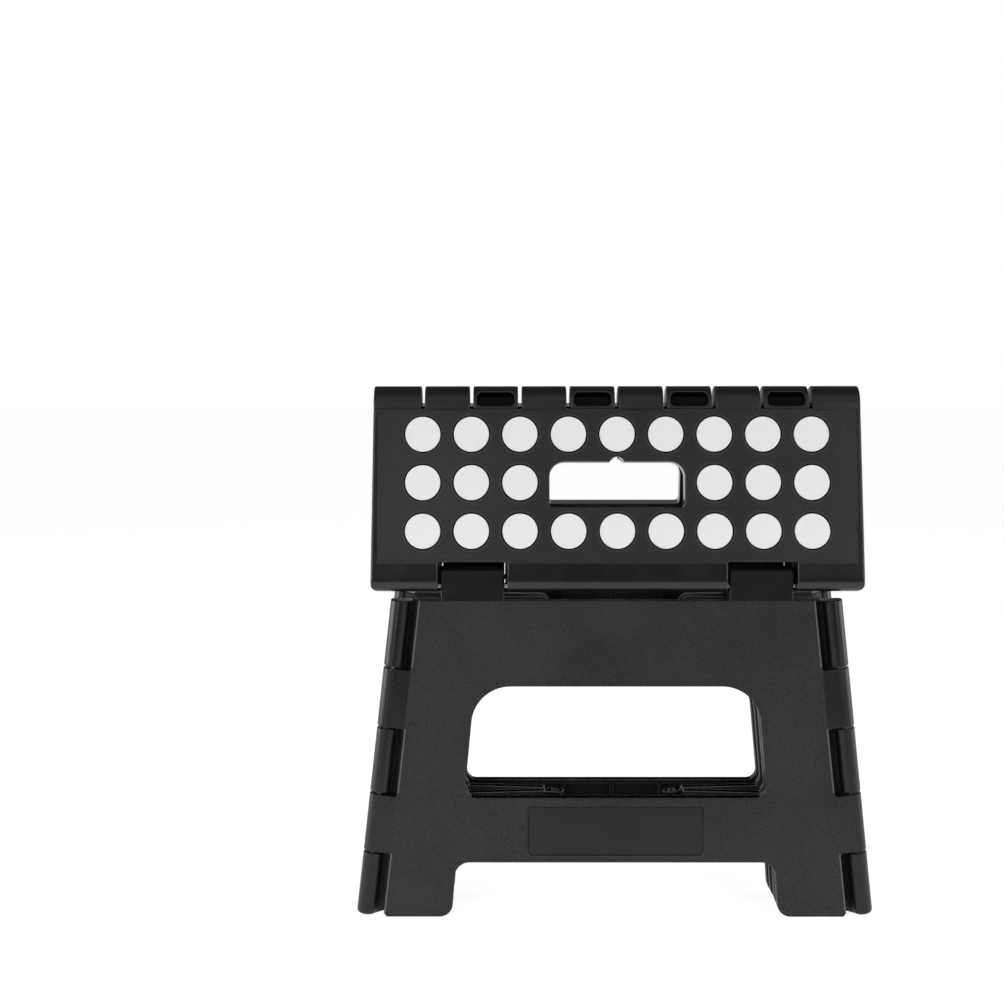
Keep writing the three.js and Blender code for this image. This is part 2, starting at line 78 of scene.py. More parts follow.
LEG_FACE_Y = 24.8
LEG_THICK = 7.0
LEG_SKIN = 3.2
LEG_TOP = 198.0
EDGE_X0 = 160.5
EDGE_SLOPE = 0.1158
SLANT = math.atan(EDGE_SLOPE)
SIDE_BARREL_R = 6.2
NOTCH_DEPTH = 17.2
BARREL_ZONES = [(0.9, 40.1), (78.4, 118.5), (156.9, 197.7)]
BLOCK_ZONES = [(41.3, 77.3), (119.6, 155.8)]
OPEN_Z0 = 75.3
OPEN_Z1 = 144.9
OPEN_HALF = 91.8
OPEN_SLOPE = 0.0958
ARCH_Z = 34.5
LABEL_HALF = 53.8
LABEL_Z0 = 39.1
LABEL_Z1 = 69.6
LABEL_DEEP = 0.6
LUG_X0 = 68.3
LUG_X1 = 106.9
LUG_R = 6.2
LUG_CREST = 12.3

SIDE_THICK = 6.0
SIDE_SKIN = 2.6
SIDE_TOP = 197.6
KNUCKLE_R = 5.6
KNUCKLE_CLEAR = 6.6
KNUCKLES_A = [(36.6, 48.6), (61.8, 73.8), (157.6, 167.6)]
KNUCKLES_B = [(49.2, 61.2), (147.0, 157.0), (168.2, 178.2)]


# ------------------------------------------------------------------ shape code
class Solid:
    """A closed mesh: points as an (n, 3) array, and faces as lists of indices."""

    def __init__(self, points, faces):
        self.points = np.asarray(points, float).reshape(-1, 3)
        self.faces = faces
        volume = 0.0
        p = self.points
        for f in faces:
            a = p[f[0]]
            for i in range(1, len(f) - 1):
                volume += float(np.dot(a, np.cross(p[f[i]], p[f[i + 1]])))
        if volume < 0:
            self.faces = [list(reversed(f)) for f in faces]


def merged(solids):
    """Solids that don't touch, as one mesh."""
    points, faces, base = [], [], 0
    for s in solids:
        points.append(s.points)
        faces += [[i + base for i in f] for f in s.faces]
        base += len(s.points)
    return Solid(np.concatenate(points), faces)


def moved(solid, function):
    return Solid(np.array([function(*p) for p in solid.points]), [list(f) for f in solid.faces])


def mirrored_x(solid):
    return Solid(solid.points * np.array([-1.0, 1.0, 1.0]), [list(f) for f in solid.faces])


def mesh_of(solid, name):
    mesh = bpy.data.meshes.new(name)
    mesh.from_pydata([tuple(p) for p in solid.points], [], solid.faces)
    mesh.update()
    return mesh


def carve(base, steps):
    """base, after a list of ('UNION' | 'DIFFERENCE' | 'INTERSECT', solid) steps."""
    work = bpy.data.objects.new("work", mesh_of(base, "work"))
    scene.collection.objects.link(work)
    tools = []
    for kind, solid in steps:
        tool = bpy.data.objects.new("tool", mesh_of(solid, "tool"))
        scene.collection.objects.link(tool)
        tools.append(tool)
        m = work.modifiers.new("b", "BOOLEAN")
        m.solver = "MANIFOLD"
        m.operation = kind
        m.object = tool
    graph = bpy.context.evaluated_depsgraph_get()
    done = bpy.data.meshes.new_from_object(work.evaluated_get(graph))
    points = np.empty(len(done.vertices) * 3)
    done.vertices.foreach_get("co", points)
    faces = [list(p.vertices) for p in done.polygons]
    bpy.data.meshes.remove(done)
    for o in tools + [work]:
        mesh = o.data
        bpy.data.objects.remove(o)
        bpy.data.meshes.remove(mesh)
    return Solid(points, faces)


def ring(corners, grow=0.0):
    """A closed outline with rounded corners, moved outwards by grow.
    corners are (a, b), (a, b, radius) or (a, b, radius, steps), anticlockwise."""
    n = len(corners)
    p = [(c[0], c[1]) for c in corners]
    d = []
    for i in range(n):
        ax, ay = p[i]
        bx, by = p[(i + 1) % n]
        length = math.hypot(bx - ax, by - ay)
        d.append(((bx - ax) / length, (by - ay) / length))
    out = []
    for i in range(n):
        (x0, y0), (x1, y1) = d[i - 1], d[i]
        ax, ay = p[i][0] + y0 * grow, p[i][1] - x0 * grow
        bx, by = p[i][0] + y1 * grow, p[i][1] - x1 * grow
        cross = x0 * y1 - y0 * x1
        dot = x0 * x1 + y0 * y1
        if abs(cross) < 1e-9:
            qx, qy = ax, ay
        else:
            t = ((bx - ax) * y1 - (by - ay) * x1) / cross
            qx, qy = ax + x0 * t, ay + y0 * t
        radius = corners[i][2] if len(corners[i]) > 2 else 0.0
        steps = corners[i][3] if len(corners[i]) > 3 else 8
        if radius <= 0 or abs(cross) < 1e-9:
            out.append((qx, qy))
            continue
        side = 1.0 if cross > 0 else -1.0
        r = max(radius + grow * side, 0.03)
        turn = math.atan2(cross, dot)
        tangent = r * math.tan(abs(turn) / 2)
        sx, sy = qx - x0 * tangent, qy - y0 * tangent
        cx, cy = sx - y0 * side * r, sy + x0 * side * r
        a0 = math.atan2(sy - cy, sx - cx)
        for k in range(steps + 1):
            a = a0 + turn * k / steps
            out.append((cx + r * math.cos(a), cy + r * math.sin(a)))
    return out


def circle(cx, cy, r, steps):
    return [(cx + r * math.cos(2 * math.pi * k / steps), cy + r * math.sin(2 * math.pi * k / steps)) for k in range(steps)]


def loft(sections, place):
    """sections are (outline, depth) with equal counts; place turns (a, b, depth) into a point."""
    m = len(sections[0][0])
    points = [place(a, b, d) for outline, d in sections for a, b in outline]
    faces = []
    for s in range(len(sections) - 1):
        for i in range(m):
            j = (i + 1) % m
            faces.append([s * m + i, s * m + j, (s + 1) * m + j, (s + 1) * m + i])
    faces.append(list(range(m))[::-1])
    faces.append([(len(sections) - 1) * m + i for i in range(m)])
    return Solid(points, faces)


def solid_prism(corners, d0, d1, place, r0=0.0, r1=0.0, steps=4):
    """A prism whose rims at d0 and d1 are rounded by r0 and r1."""
    sections = []
    if r0 > 0:
        for k in range(steps + 1):
            a = math.pi / 2 * k / steps
            sections.append((ring(corners, -r0 * (1 - math.sin(a))), d0 + r0 * (1 - math.cos(a))))
    else:
        sections.append((ring(corners), d0))
    if r1 > 0:
        for k in range(steps, -1, -1):
            a = math.pi / 2 * k / steps
            sections.append((ring(corners, -r1 * (1 - math.sin(a))), d1 - r1 * (1 - math.cos(a))))
    else:
        sections.append((ring(corners), d1))
    return loft(sections, place)


def cutter(outline, d0, d1, place, r0=0.0, r1=0.0, steps=4, over=2.0, through=True):
    """A tool that leaves rims rounded by r0 at d0 and r1 at d1. outline(grow) gives its outline."""
    sections = [(outline(r0), d0 - over)]
    if r0 > 0:
        for k in range(steps + 1):
            t = math.pi / 2 * k / steps
            sections.append((outline(r0 - r0 * math.sin(t)), d0 + r0 - r0 * math.cos(t)))
    if r1 > 0:
        for k in range(steps, -1, -1):
            t = math.pi / 2 * k / steps
            sections.append((outline(r1 - r1 * math.sin(t)), d1 - r1 + r1 * math.cos(t)))
    sections.append((outline(r1), d1 + over if through else d1))
    return loft(sections, place)


def turned(profile, axis0, axis1, steps=48):
    """A solid of revolution between two points; profile is (radius, distance) from end to end."""
    a, b = Vector(axis0), Vector(axis1)
    w = (b - a).normalized()
    u = w.orthogonal().normalized()
    v = w.cross(u)

    def place(x, y, d):
        q = a + u * x + v * y + w * d
        return (q.x, q.y, q.z)

    return loft([(circle(0, 0, r, steps), d) for r, d in profile], place)


def barrel(axis0, axis1, r, end=0.6, steps=48, n=4, start=None):
    """A round bar with rounded ends."""
    length = (Vector(axis1) - Vector(axis0)).length

    def cap(e):
        return [(r - e + e * math.sin(math.pi / 2 * k / n), e - e * math.cos(math.pi / 2 * k / n)) for k in range(n + 1)]

    profile = cap(start or end) + [(q, length - d) for q, d in reversed(cap(end))]
    return turned(profile, axis0, axis1, steps)


def place_flat(a, b, d):  # outline in x, -u; depth is h
    return (a, b, d)


def place_x(a, b, d):  # outline in y, z; depth is x
    return (d, a, b)


def place_y(a, b, d):  # outline in x, z; depth is y
    return (a, d, b)


def block(x0, x1, y0, y1, z0, z1):
    return solid_prism([(x0, y0), (x1, y0), (x1, y1), (x0, y1)], z0, z1, place_flat)


# ------------------------------------------------------------------ deck half, flat: x, y = -u, z = h
def segment_x(i):
    return (-DECK_HALF_IN if i == 0 else (i - 5) * PITCH, DECK_HALF_IN if i == 9 else (i - 4) * PITCH)


OWN = (1, 3, 5, 7, 9)
OTHER = (0, 2, 4, 6, 8)
DOTS = [(col * PITCH, DOT_U0 + row * PITCH) for row in range(3) for col in range(-4, 5) if not (row == 1 and abs(col) < 2)]


def deck_half():
    lean = math.tan(FOLD)
    flat_u = (0.7 - DECK_SKIRT) / lean
    profile = [
        (-2.4, 0.7 - 2.4 * lean),
        (-2.4, DECK_TOP),
        (-DECK_EDGE, DECK_TOP, DECK_NOSE, 14),
        (-DECK_EDGE, DECK_SKIRT, 0.8, 4),
        (-flat_u, DECK_SKIRT),
    ]
    base = solid_prism(profile, -DECK_HALF_IN, DECK_HALF_IN, place_x, 1.1, 1.1, 5)
    widen = DECK_HALF_OUT / DECK_HALF_IN - 1.0
    base = moved(base, lambda x, y, z: (x * (1 + widen * (-y) / DECK_EDGE), y, z))
    skin = DECK_TOP - DECK_SKIN
    wall = DECK_HALF_IN - 3.0
    steps = []
    # plan corners
    w = DECK_HALF_OUT + 0.1
    plan = [(-w, -DECK_EDGE - 0.02, 4.5, 8), (w, -DECK_EDGE - 0.02, 4.5, 8), (w, 20), (-w, 20)]
    steps.append(("INTERSECT", solid_prism(plan, -30, 30, place_flat)))
    # ribbed underside
    rib_x = [1.5 * PITCH, 2.5 * PITCH, 3.5 * PITCH, 4.5 * PITCH]
    rib_u = [15, 33.2, 62.6, 93.9]
    t = 0.9
    pockets = []

    def pocket(x0, x1, u0, u1, h=skin, r=1.4):
        c = [(x0, -u1, r, 3), (x1, -u1, r, 3), (x1, -u0, r, 3), (x0, -u0, r, 3)]
        pockets.append(solid_prism(c, -30, h, place_flat, 0, 0.8, 2))

    def both(x0, x1, u0, u1, h=skin):
        pocket(x0, x1, u0, u1, h)
        pocket(-x1, -x0, u0, u1, h)

    both(0.5 * PITCH + t, rib_x[0] - t, rib_u[0] + t, rib_u[1] - t)
    pocket(-0.5 * PITCH + t, 0.5 * PITCH - t, rib_u[0] + t, rib_u[1] - t)
    pocket(-rib_x[0] + t, rib_x[0] - t, rib_u[1] + t, SLOT_U1 + 1.2, 2.0)
    both(0.5 * PITCH + t, rib_x[0] - t, SLOT_U1 + 2.6, rib_u[3] - t)
    pocket(-0.5 * PITCH + t, 0.5 * PITCH - t, SLOT_U1 + 2.6, rib_u[3] - t)
    both(0.5 * PITCH + t, rib_x[0] - t, rib_u[3] + t, DECK_EDGE - 2.6)
    pocket(-0.5 * PITCH + t, 0.5 * PITCH - t, rib_u[3] + t, DECK_EDGE - 2.6)
    for r in range(3):
        for c in range(3):
            both(rib_x[c] + t, rib_x[c + 1] - t, rib_u[r] + t, rib_u[r + 1] - t)
        both(rib_x[3] + t, wall, rib_u[r] + t, rib_u[r + 1] - t)
    both(rib_x[0] + t, NOTCH_X0 - 8.0, rib_u[3] + t, DECK_EDGE - 2.6)
    both(NOTCH_X1 + 8.0, rib_x[3] - t, rib_u[3] + t, DECK_EDGE - 2.6)
    both(rib_x[3] + t, wall, rib_u[3] + t, DECK_EDGE - 2.6)
    steps.append(("DIFFERENCE", merged(pockets)))
    # low ribs over the side panels
    pockets = []
    both(118, wall, rib_u[0] + t, rib_u[3] + 6, 2.4)
    steps.append(("DIFFERENCE", merged(pockets)))
    # the other half's fingers turn in these hollows
    hollows = []
    for i in OTHER:
        a, b = segment_x(i)
        hollows.append(barrel((a - 3 if i == 0 else a - FINGER_GAP / 2, 0, 0), (b + FINGER_GAP / 2, 0, 0), BARREL_CUT, 0.3, 96, 2))
    steps.append(("DIFFERENCE", merged(hollows)))
    # own fingers
    necks, rounds = [], []
    for i in OWN:
        a, b = segment_x(i)
        x0 = a + FINGER_GAP / 2
        x1 = b if i == 9 else b - FINGER_GAP / 2
        rounds.append(barrel((x0, 0, 0), (x1, 0, 0), BARREL_R, 0.8, 96, 5))
        necks.append(solid_prism([(-13, -1.0), (-0.001, -1.0), (-0.001, DECK_TOP), (-13, DECK_TOP)], x0, x1, place_x, 0.8, 0.8, 5))
    steps.append(("UNION", merged(necks)))
    steps.append(("UNION", merged(rounds)))
    # windows of the hollow fingers, their rims rounded along the round surface
    shafts = []
    for i in OWN[:-1]:
        a, b = segment_x(i)
        x0 = a + FINGER_GAP / 2 + 2.3
        x1 = b - FINGER_GAP / 2 - 2.3

        def window(grow, x0=x0, x1=x1):
            return ring([(x0, 2.9, 2.6, 6), (x1, 2.9, 2.6, 6), (x1, 10.1, 2.8, 8), (x0, 10.1, 2.8, 8)], grow)

        def on_finger(x, y, d):
            return (x, y, d - math.sqrt(max(BARREL_R**2 - y**2, 9.0)))

        rim = 1.15
        sections = [(window(rim), -1.5)]
        for k in range(6):
            t = math.pi / 2 * k / 5
            sections.append((window(rim - rim * math.sin(t)), rim - rim * math.cos(t)))
        sections.append((window(0.0), 3.4))
        shafts.append(loft(sections, on_finger))
        shafts.append(solid_prism([(x0 + 0.01, 2.91, 2.6, 6), (x1 - 0.01, 2.91, 2.6, 6), (x1 - 0.01, 10.09, 2.8, 8), (x0 + 0.01, 10.09, 2.8, 8)], -6.0, 5.5, place_flat))
    for shaft in shafts:
        steps.append(("DIFFERENCE", shaft))
    # the boss that keeps the rod inside each hollow finger
    bosses = []
    for i in OWN[:-1]:
        a, b = segment_x(i)
        bosses.append(block(a + FINGER_GAP / 2 + 1.0, b - FINGER_GAP / 2 - 1.0, -4.2, 4.2, -2.8, 8.0))
    steps.append(("UNION", merged(bosses)))

    # openings with rounded rims
    def slot(grow):
        return ring([
            (-SLOT_HALF, -SLOT_U1, 2.4, 6), (SLOT_HALF, -SLOT_U1, 2.4, 6),
            (SLOT_HALF, -SLOT_U0, 9.0, 10), (-SLOT_HALF, -SLOT_U0, 9.0, 10),
        ], grow)

    steps.append(("DIFFERENCE", cutter(slot, -12, DECK_TOP, place_flat, 0, 0.9, 5)))
    steps.append(("DIFFERENCE", cutter(lambda g: circle(0, -SLOT_U0 - 1.5, 4.6 + g, 48), -12, DECK_TOP, place_flat, 0, 0.7, 5)))
    for s in (-1, 1):
        a, b = sorted((s * NOTCH_X0, s * NOTCH_X1))

        def notch(grow, a=a, b=b):
            return ring([(a, -DECK_EDGE - 12), (b, -DECK_EDGE - 12), (b, -NOTCH_U, 1.0, 4), (a, -NOTCH_U, 1.0, 4)], grow)

        steps.append(("DIFFERENCE", cutter(notch, -30, DECK_TOP, place_flat, 0, 0.7, 5)))
        # low flanges that close the notch round the lug, behind the pin
        flanges = []
        for inner, outer in ((LUG_X0 - 0.45, NOTCH_X0 - 0.6), (LUG_X1 + 0.45, NOTCH_X1 + 0.6)):
            x0, x1 = sorted((s * inner, s * outer))
            flanges.append(block(x0, x1, -DECK_EDGE + 0.9, -NOTCH_U + 0.6, -6.6, -3.2))
        steps.append(("UNION", merged(flanges)))
    wells = [loft([(circle(x, -u, DOT_R + 0.1, 64), 7.4), (circle(x, -u, DOT_R + 0.1, 64), 11.4)], place_flat) for x, u in DOTS]
    steps.append(("DIFFERENCE", merged(wells)))
    grooves = [cutter(lambda g, x=x, u=u: circle(x, -u, DOT_HOLE_R + g, 64), 12.65, DECK_TOP, place_flat, 0, 0.35, 4) for x, u in DOTS]
    for groove in grooves:
        groove.points[:64, 2] = 10.7
    steps.append(("DIFFERENCE", merged(grooves)))
    for x0, x1, u0, u1 in RUNNERS:
        g = 0.3
        steps.append(("DIFFERENCE", block(x0 - g, x1 + g, -u1 - g, -u0 + g, 7.5, skin + 0.02)))
    steps.append(("DIFFERENCE", barrel((-DECK_HALF_IN + 5.7, 0, 0), (DECK_HALF_IN - 5.7, 0, 0), 2.3, 0.2, 32, 1)))
    for s in (-1, 1):
        a, b = sorted((s * (NOTCH_X0 - 6.5), s * (NOTCH_X1 + 6.5)))
        steps.append(("DIFFERENCE", barrel((a, -LINK, 0), (b, -LINK, 0), 2.05, 0.2, 32, 1)))
    return carve(base, steps)


def runner_boxes():
    w = 3.0
    u = [DOT_U0 + 2.2, DOT_U0 + PITCH, DOT_U0 + 2 * PITCH]
    out = [(-4 * PITCH, 4 * PITCH, u[0] - w, u[0] + w), (-4 * PITCH, 4 * PITCH, u[2] - w, u[2] + w)]
    for s in (-1, 1):
        a, b = sorted((s * 4 * PITCH, s * 2 * PITCH))
        out.append((a, b, u[1] - w, u[1] + w))
        out.append((s * 3 * PITCH - w, s * 3 * PITCH + w, u[0], u[2]))
    return out


RUNNERS = runner_boxes()


def grip_pad():
    discs = []
    for x, u in DOTS:
        profile = [(DOT_R - 0.25, 10.1), (DOT_R, 10.4)]
        edge = 0.3
        for k in range(6):
            a = math.pi / 2 * k / 5
            profile.append((DOT_R - edge + edge * math.cos(a), DOT_TOP - edge + edge * math.sin(a)))
        profile += [(DOT_R - 1.1, DOT_TOP - 0.015), (DOT_R - 1.5, DOT_TOP - 0.09), (DOT_R - 2.2, DOT_TOP - 0.11), (DOT_R * 0.5, DOT_TOP - 0.07), (0.6, DOT_TOP - 0.05)]
        s = turned([(r, h) for r, h in profile], (x, -u, 0), (x, -u, 1), 64)
        discs.append(s)
    stems = [barrel((x, -u - (1.6 if u < 20 else 0), 8.0), (x, -u - (1.6 if u < 20 else 0), 10.3), 7.0, 0.2, 32, 1) for x, u in DOTS]
    base = merged(discs)
    steps = [("UNION", merged(stems))]
    for x0, x1, u0, u1 in RUNNERS:
        steps.append(("UNION", block(x0, x1, -u1, -u0, 7.8, 9.0)))
    return carve(base, steps)


# ------------------------------------------------------------------ leg panel, front one in place
def edge_x(z):
    return EDGE_X0 - EDGE_SLOPE * z


def axis_x(z):
    return edge_x(z) - SIDE_BARREL_R / math.cos(SLANT)


def notch_x(z):
    return edge_x(z) - NOTCH_DEPTH


def open_x(z):
    return OPEN_HALF - OPEN_SLOPE * (z - 87.8)


N = Vector((math.cos(SLANT), 0, -math.sin(SLANT)))
D = Vector((math.sin(SLANT), 0, math.cos(SLANT)))


def axis_point(z):
    return Vector((-axis_x(z), -AXIS_Y, z))


def place_axis(z0):
    o = axis_point(z0)

    def place(a, b, d):
        q = o + N * a + D * d
        return (q.x, q.y + b, q.z)

    return place


def axis_length(z0, z1):
    return (z1 - z0) / math.cos(SLANT)


def both_sides(solid):
    return [solid, mirrored_x(solid)]


def opening(grow):
    z0, z1 = OPEN_Z0, OPEN_Z1
    return ring([
        (-open_x(z0), z0, 6.2, 8), (open_x(z0), z0, 6.2, 8),
        (open_x(z1), z1, 24.0, 18), (-open_x(z1), z1, 24.0, 18),
    ], grow)


def arch(grow):
    return ring([
        (-160, -8), (160, -8), (160, 0), (100.9, 0, 8.2, 8), (98.3, ARCH_Z, 9.0, 10),
        (-98.3, ARCH_Z, 9.0, 10), (-100.9, 0, 8.2, 8), (-160, 0),
    ], grow)


def leg_panel():
    y0, y1 = -LEG_FACE_Y, -LEG_FACE_Y + LEG_THICK
    z = LEG_TOP
    # the outline steps out to the hinge blocks, with rounded inner corners
    inset = (NOTCH_DEPTH * math.cos(SLANT)) - SIDE_BARREL_R

    def edge(zz, n, r=0.0):
        return (axis_x(zz) - n * math.cos(SLANT), zz - n * math.sin(SLANT), r, 6)

    rise = [(notch_x(0) - 2.0, -6, 0.0, 1), (notch_x(0) - 2.0, 0.0, 0.5, 2), (notch_x(2.2), 2.2, 0.5, 2)]
    blocks = []
    for z0, z1 in BLOCK_ZONES:
        rise += [edge(z0, inset, 1.5), edge(z0, 0.0), edge(z1, 0.0), edge(z1, inset, 1.5)]
        blocks += both_sides(barrel(axis_point(z0), axis_point(z1), SIDE_BARREL_R - 0.08, 0.6, 64, 4))
    rise.append((notch_x(z), z, 0.8, 3))
    outline = rise + [(-a, b, r, n) for a, b, r, n in reversed(rise)]
    base = solid_prism(outline, y0, y1, place_y, 0.6, 0.3, 4)
    steps = [("UNION", merged(blocks))]
    lug = [
        (y0 + 0.1, LEG_TOP - 3.0), (-AXIS_Y + LUG_R - 0.05, LEG_TOP - 3.0 + 3.3),
        (-AXIS_Y + LUG_R - 0.05, LEG_HINGE_Z + LUG_CREST, LUG_R - 0.08, 14), (y0 + 0.1, LEG_HINGE_Z + LUG_CREST, LUG_R - 0.08, 14),
    ]
    lugs = both_sides(solid_prism(lug, LUG_X0, LUG_X1, place_x, 0.9, 0.9, 5))
    steps.append(("UNION", merged(lugs)))
    steps.append(("DIFFERENCE", cutter(opening, y0, y1, place_y, 0.6, 0.3, 4)))
    steps.append(("DIFFERENCE", cutter(arch, y0, y1, place_y, 0.55, 0.3, 4)))

    def label(grow):
        return ring([
            (-LABEL_HALF, LABEL_Z0, 2.6, 6), (LABEL_HALF, LABEL_Z0, 2.6, 6),
            (LABEL_HALF, LABEL_Z1, 2.6, 6), (-LABEL_HALF, LABEL_Z1, 2.6, 6),
        ], grow)

    steps.append(("DIFFERENCE", cutter(label, y0, y0 + LABEL_DEEP, place_y, 0.3, 0, 4, through=False)))
    # ribbed inner side
    pockets = []
    ys = y0 + LEG_SKIN

    def pocket(points):
        area = sum(points[i][0] * points[(i + 1) % 4][1] - points[(i + 1) % 4][0] * points[i][1] for i in range(4))
        if area < 0:
            points = points[::-1]
        pockets.append(solid_prism([(a, b, 1.2, 3) for a, b in points], ys, y1 + 4, place_y))

    def quad(z0, z1, a, b):
        for s in (-1, 1):
            pocket([(s * a(z0), z0), (s * b(z0), z0), (s * b(z1), z1), (s * a(z1), z1)])

    def flat(v):
        return lambda zz: v

    def inward(zz):
        return notch_x(zz) - 2.4

    def column(zz):
        return open_x(zz) + 2.6

    quad(76.5, 98.5, column, inward)
    quad(100.5, 122.5, column, inward)
    quad(3.0, 18.0, flat(109.5), inward)
    quad(20.0, 33.5, flat(103.5), inward)
    quad(37.0, 54.5, flat(92.5), inward)
    quad(56.5, 72.8, flat(92.5), inward)
    quad(37.0, 54.5, flat(62.0), flat(90.5))
    quad(56.5, 72.8, flat(62.0), flat(90.5))
    quad(37.0, 72.8, flat(32.0), flat(60.0))
    quad(37.0, 72.8, flat(1.0), flat(30.0))
    quad(124.5, 146.0, flat(90.5), inward)
    quad(148.0, 170.0, flat(92.0), inward)
    quad(172.0, 195.6, flat(92.0), inward)
    quad(148.0, 170.0, flat(62.0), flat(90.0))
    quad(172.0, 195.6, flat(62.0), flat(90.0))
    quad(148.0, 170.0, flat(32.0), flat(60.0))
    quad(172.0, 195.6, flat(32.0), flat(60.0))
    quad(148.0, 170.0, flat(1.0), flat(30.0))
    quad(172.0, 195.6, flat(1.0), flat(30.0))
    steps.append(("DIFFERENCE", merged(pockets)))
    bore = [(2.05, 0), (2.05, axis_length(-2, 195.2))]
    steps.append(("DIFFERENCE", merged(both_sides(turned(bore, axis_point(-2), axis_point(195.2), 32)))))
    steps.append(("DIFFERENCE", turned([(2.05, 0), (2.05, 2 * LUG_X1 + 2)], (-LUG_X1 - 1, -AXIS_Y, LEG_HINGE_Z), (LUG_X1 + 1, -AXIS_Y, LEG_HINGE_Z), 32)))
    return carve(base, steps)


# ------------------------------------------------------------------ side half, left front one in place
SPAN_N = LINK * math.cos(FOLD)
SPAN_Q = AXIS_Y


def face_out(n):
    return 8.1 + 0.0932 * n


def face_in(n):
    return face_out(n) - SIDE_THICK


def mid_point(z):
    return axis_point(0) + N * SPAN_N + Vector((0, SPAN_Q, 0)) + D * ((z + SPAN_N * math.sin(SLANT)) / math.cos(SLANT))


def side_half(own):
    n_end = SPAN_N - KNUCKLE_CLEAR
    plate = [(6.9, face_in(6.9)), (n_end, face_in(n_end)), (n_end, face_out(n_end)), (6.9, face_out(6.9))]
    base = solid_prism(plate, 0, axis_length(-14, 216), place_axis(-14))
    far = 200
    top = [(-far, SIDE_TOP), (-42, SIDE_TOP, 6, 5), (-33, 179.6, 6, 5), (60, 178.4), (60, 260), (-far, 260)]
    steps = [
        ("DIFFERENCE", solid_prism(top, -60, 60, place_y)),
        ("DIFFERENCE", loft([(opening(0.5), -60), (opening(0.5), 60)], place_y)),
        ("DIFFERENCE", loft([(arch(0.3), -60), (arch(0.3), 60)], place_y)),
        ("DIFFERENCE", block(-91, 60, -60, 60, OPEN_Z0 - 0.5, OPEN_Z0 + 12)),
        ("DIFFERENCE", block(-70, 60, -60, 60, OPEN_Z1 - 30, OPEN_Z1 + 0.5)),
    ]
    cells = []

    def cell(x0, x1, z0, z1):
        cells.append(solid_prism([(x0, z0, 1.2, 3), (x1, z0, 1.2, 3), (x1, z1, 1.2, 3), (x0, z1, 1.2, 3)], -60, 60, place_y))

    cell(-64, -46, 37.5, 72.6)
    cell(-90, -66, 37.5, 72.6)
    cell(-112, -92, 37.5, 54.5)
    cell(-112, -92, 56.5, 72.6)
    cell(-134, -114, 5.0, 34.0)
    cell(-134, -114, 37.5, 54.5)
    cell(-132, -114, 56.5, 72.6)
    cell(-128, -98, 79.0, 98.5)
    cell(-126, -98, 100.5, 122.5)
    cell(-122, -92, 148.0, 170.0)
    cell(-120, -92, 172.0, 195.0)
    cell(-90, -66, 148.0, 170.0)
    cell(-90, -66, 172.0, 195.0)
    cell(-64, -44, 148.0, 170.0)
    cell(-64, -46, 172.0, 195.0)
    room = [
        (11, face_in(11) - 20), (n_end - 2.5, face_in(n_end) - 20),
        (n_end - 2.5, face_out(n_end) - SIDE_SKIN), (11, face_out(11) - SIDE_SKIN),
    ]
    inside = carve(merged(cells), [("INTERSECT", solid_prism(room, 0, axis_length(-14, 216), place_axis(-14)))])
    steps.append(("DIFFERENCE", inside))
    necks, rounds = [], []
    r = SIDE_BARREL_R - 0.1
    for z0, z1 in BARREL_ZONES:
        rounds.append(barrel(axis_point(z0), axis_point(z1), r, 0.7, 64, 4, start=2.4 if z0 < 2 else 0.7))
        neck = [(-0.5, 3.0), (5.0, -1.2), (9.4, face_in(9.4)), (9.4, face_out(9.4)), (5.5, 8.3, 2.0, 4), (1.0, r - 0.1)]
        necks.append(solid_prism(neck, 0, axis_length(z0, z1), place_axis(z0), 0.5, 0.5, 3))
    steps.append(("UNION", merged(necks)))
    steps.append(("UNION", merged(rounds)))
    drop = SPAN_N * math.sin(SLANT)
    tails, knobs = [], []
    for z0, z1 in own:
        knobs.append(barrel(mid_point(z0), mid_point(z1), KNUCKLE_R, 0.5, 48, 3))
        m = n_end - 1
        tail = [(m, face_in(m)), (SPAN_N - 0.6, SPAN_Q - KNUCKLE_R + 0.1), (SPAN_N + 0.2, SPAN_Q - 1), (SPAN_N - 0.6, SPAN_Q + KNUCKLE_R - 3.0), (m, face_out(m))]
        tails.append(solid_prism(tail, 0, axis_length(z0, z1), place_axis(z0 + drop), 0.4, 0.4, 2))
    steps.append(("UNION", merged(tails)))
    steps.append(("UNION", merged(knobs)))
    steps.append(("DIFFERENCE", turned([(2.05, 0), (2.05, axis_length(-2, 195.2))], axis_point(-2), axis_point(195.2), 32)))
    steps.append(("DIFFERENCE", turned([(2.05, 0), (2.05, (mid_point(76) - mid_point(30)).length)], mid_point(30), mid_point(76), 32)))
    steps.append(("DIFFERENCE", turned([(2.05, 0), (2.05, (mid_point(177.2) - mid_point(145)).length)], mid_point(145), mid_point(177.2), 32)))
    steps.append(("DIFFERENCE", block(-far, 60, -60, 60, -60, 0.8)))
    return carve(base, steps)


# ------------------------------------------------------------------ materials
def nodes_of(name):
    material = bpy.data.materials.new(name)
    material.use_nodes = True
    tree = material.node_tree
    tree.nodes.clear()
    out = tree.nodes.new("ShaderNodeOutputMaterial")
    shader = tree.nodes.new("ShaderNodeBsdfPrincipled")
    tree.links.new(shader.outputs[0], out.inputs[0])
    return material, tree, shader


def math_node(tree, op, a, b=None, c=None, clamp=False):
    n = tree.nodes.new("ShaderNodeMath")
    n.operation = op
    n.use_clamp = clamp
    for i, v in enumerate((a, b, c)):
        if v is None:
            continue
        if isinstance(v, (int, float)):
            n.inputs[i].default_value = v
        else:
            tree.links.new(v, n.inputs[i])
    return n.outputs[0]


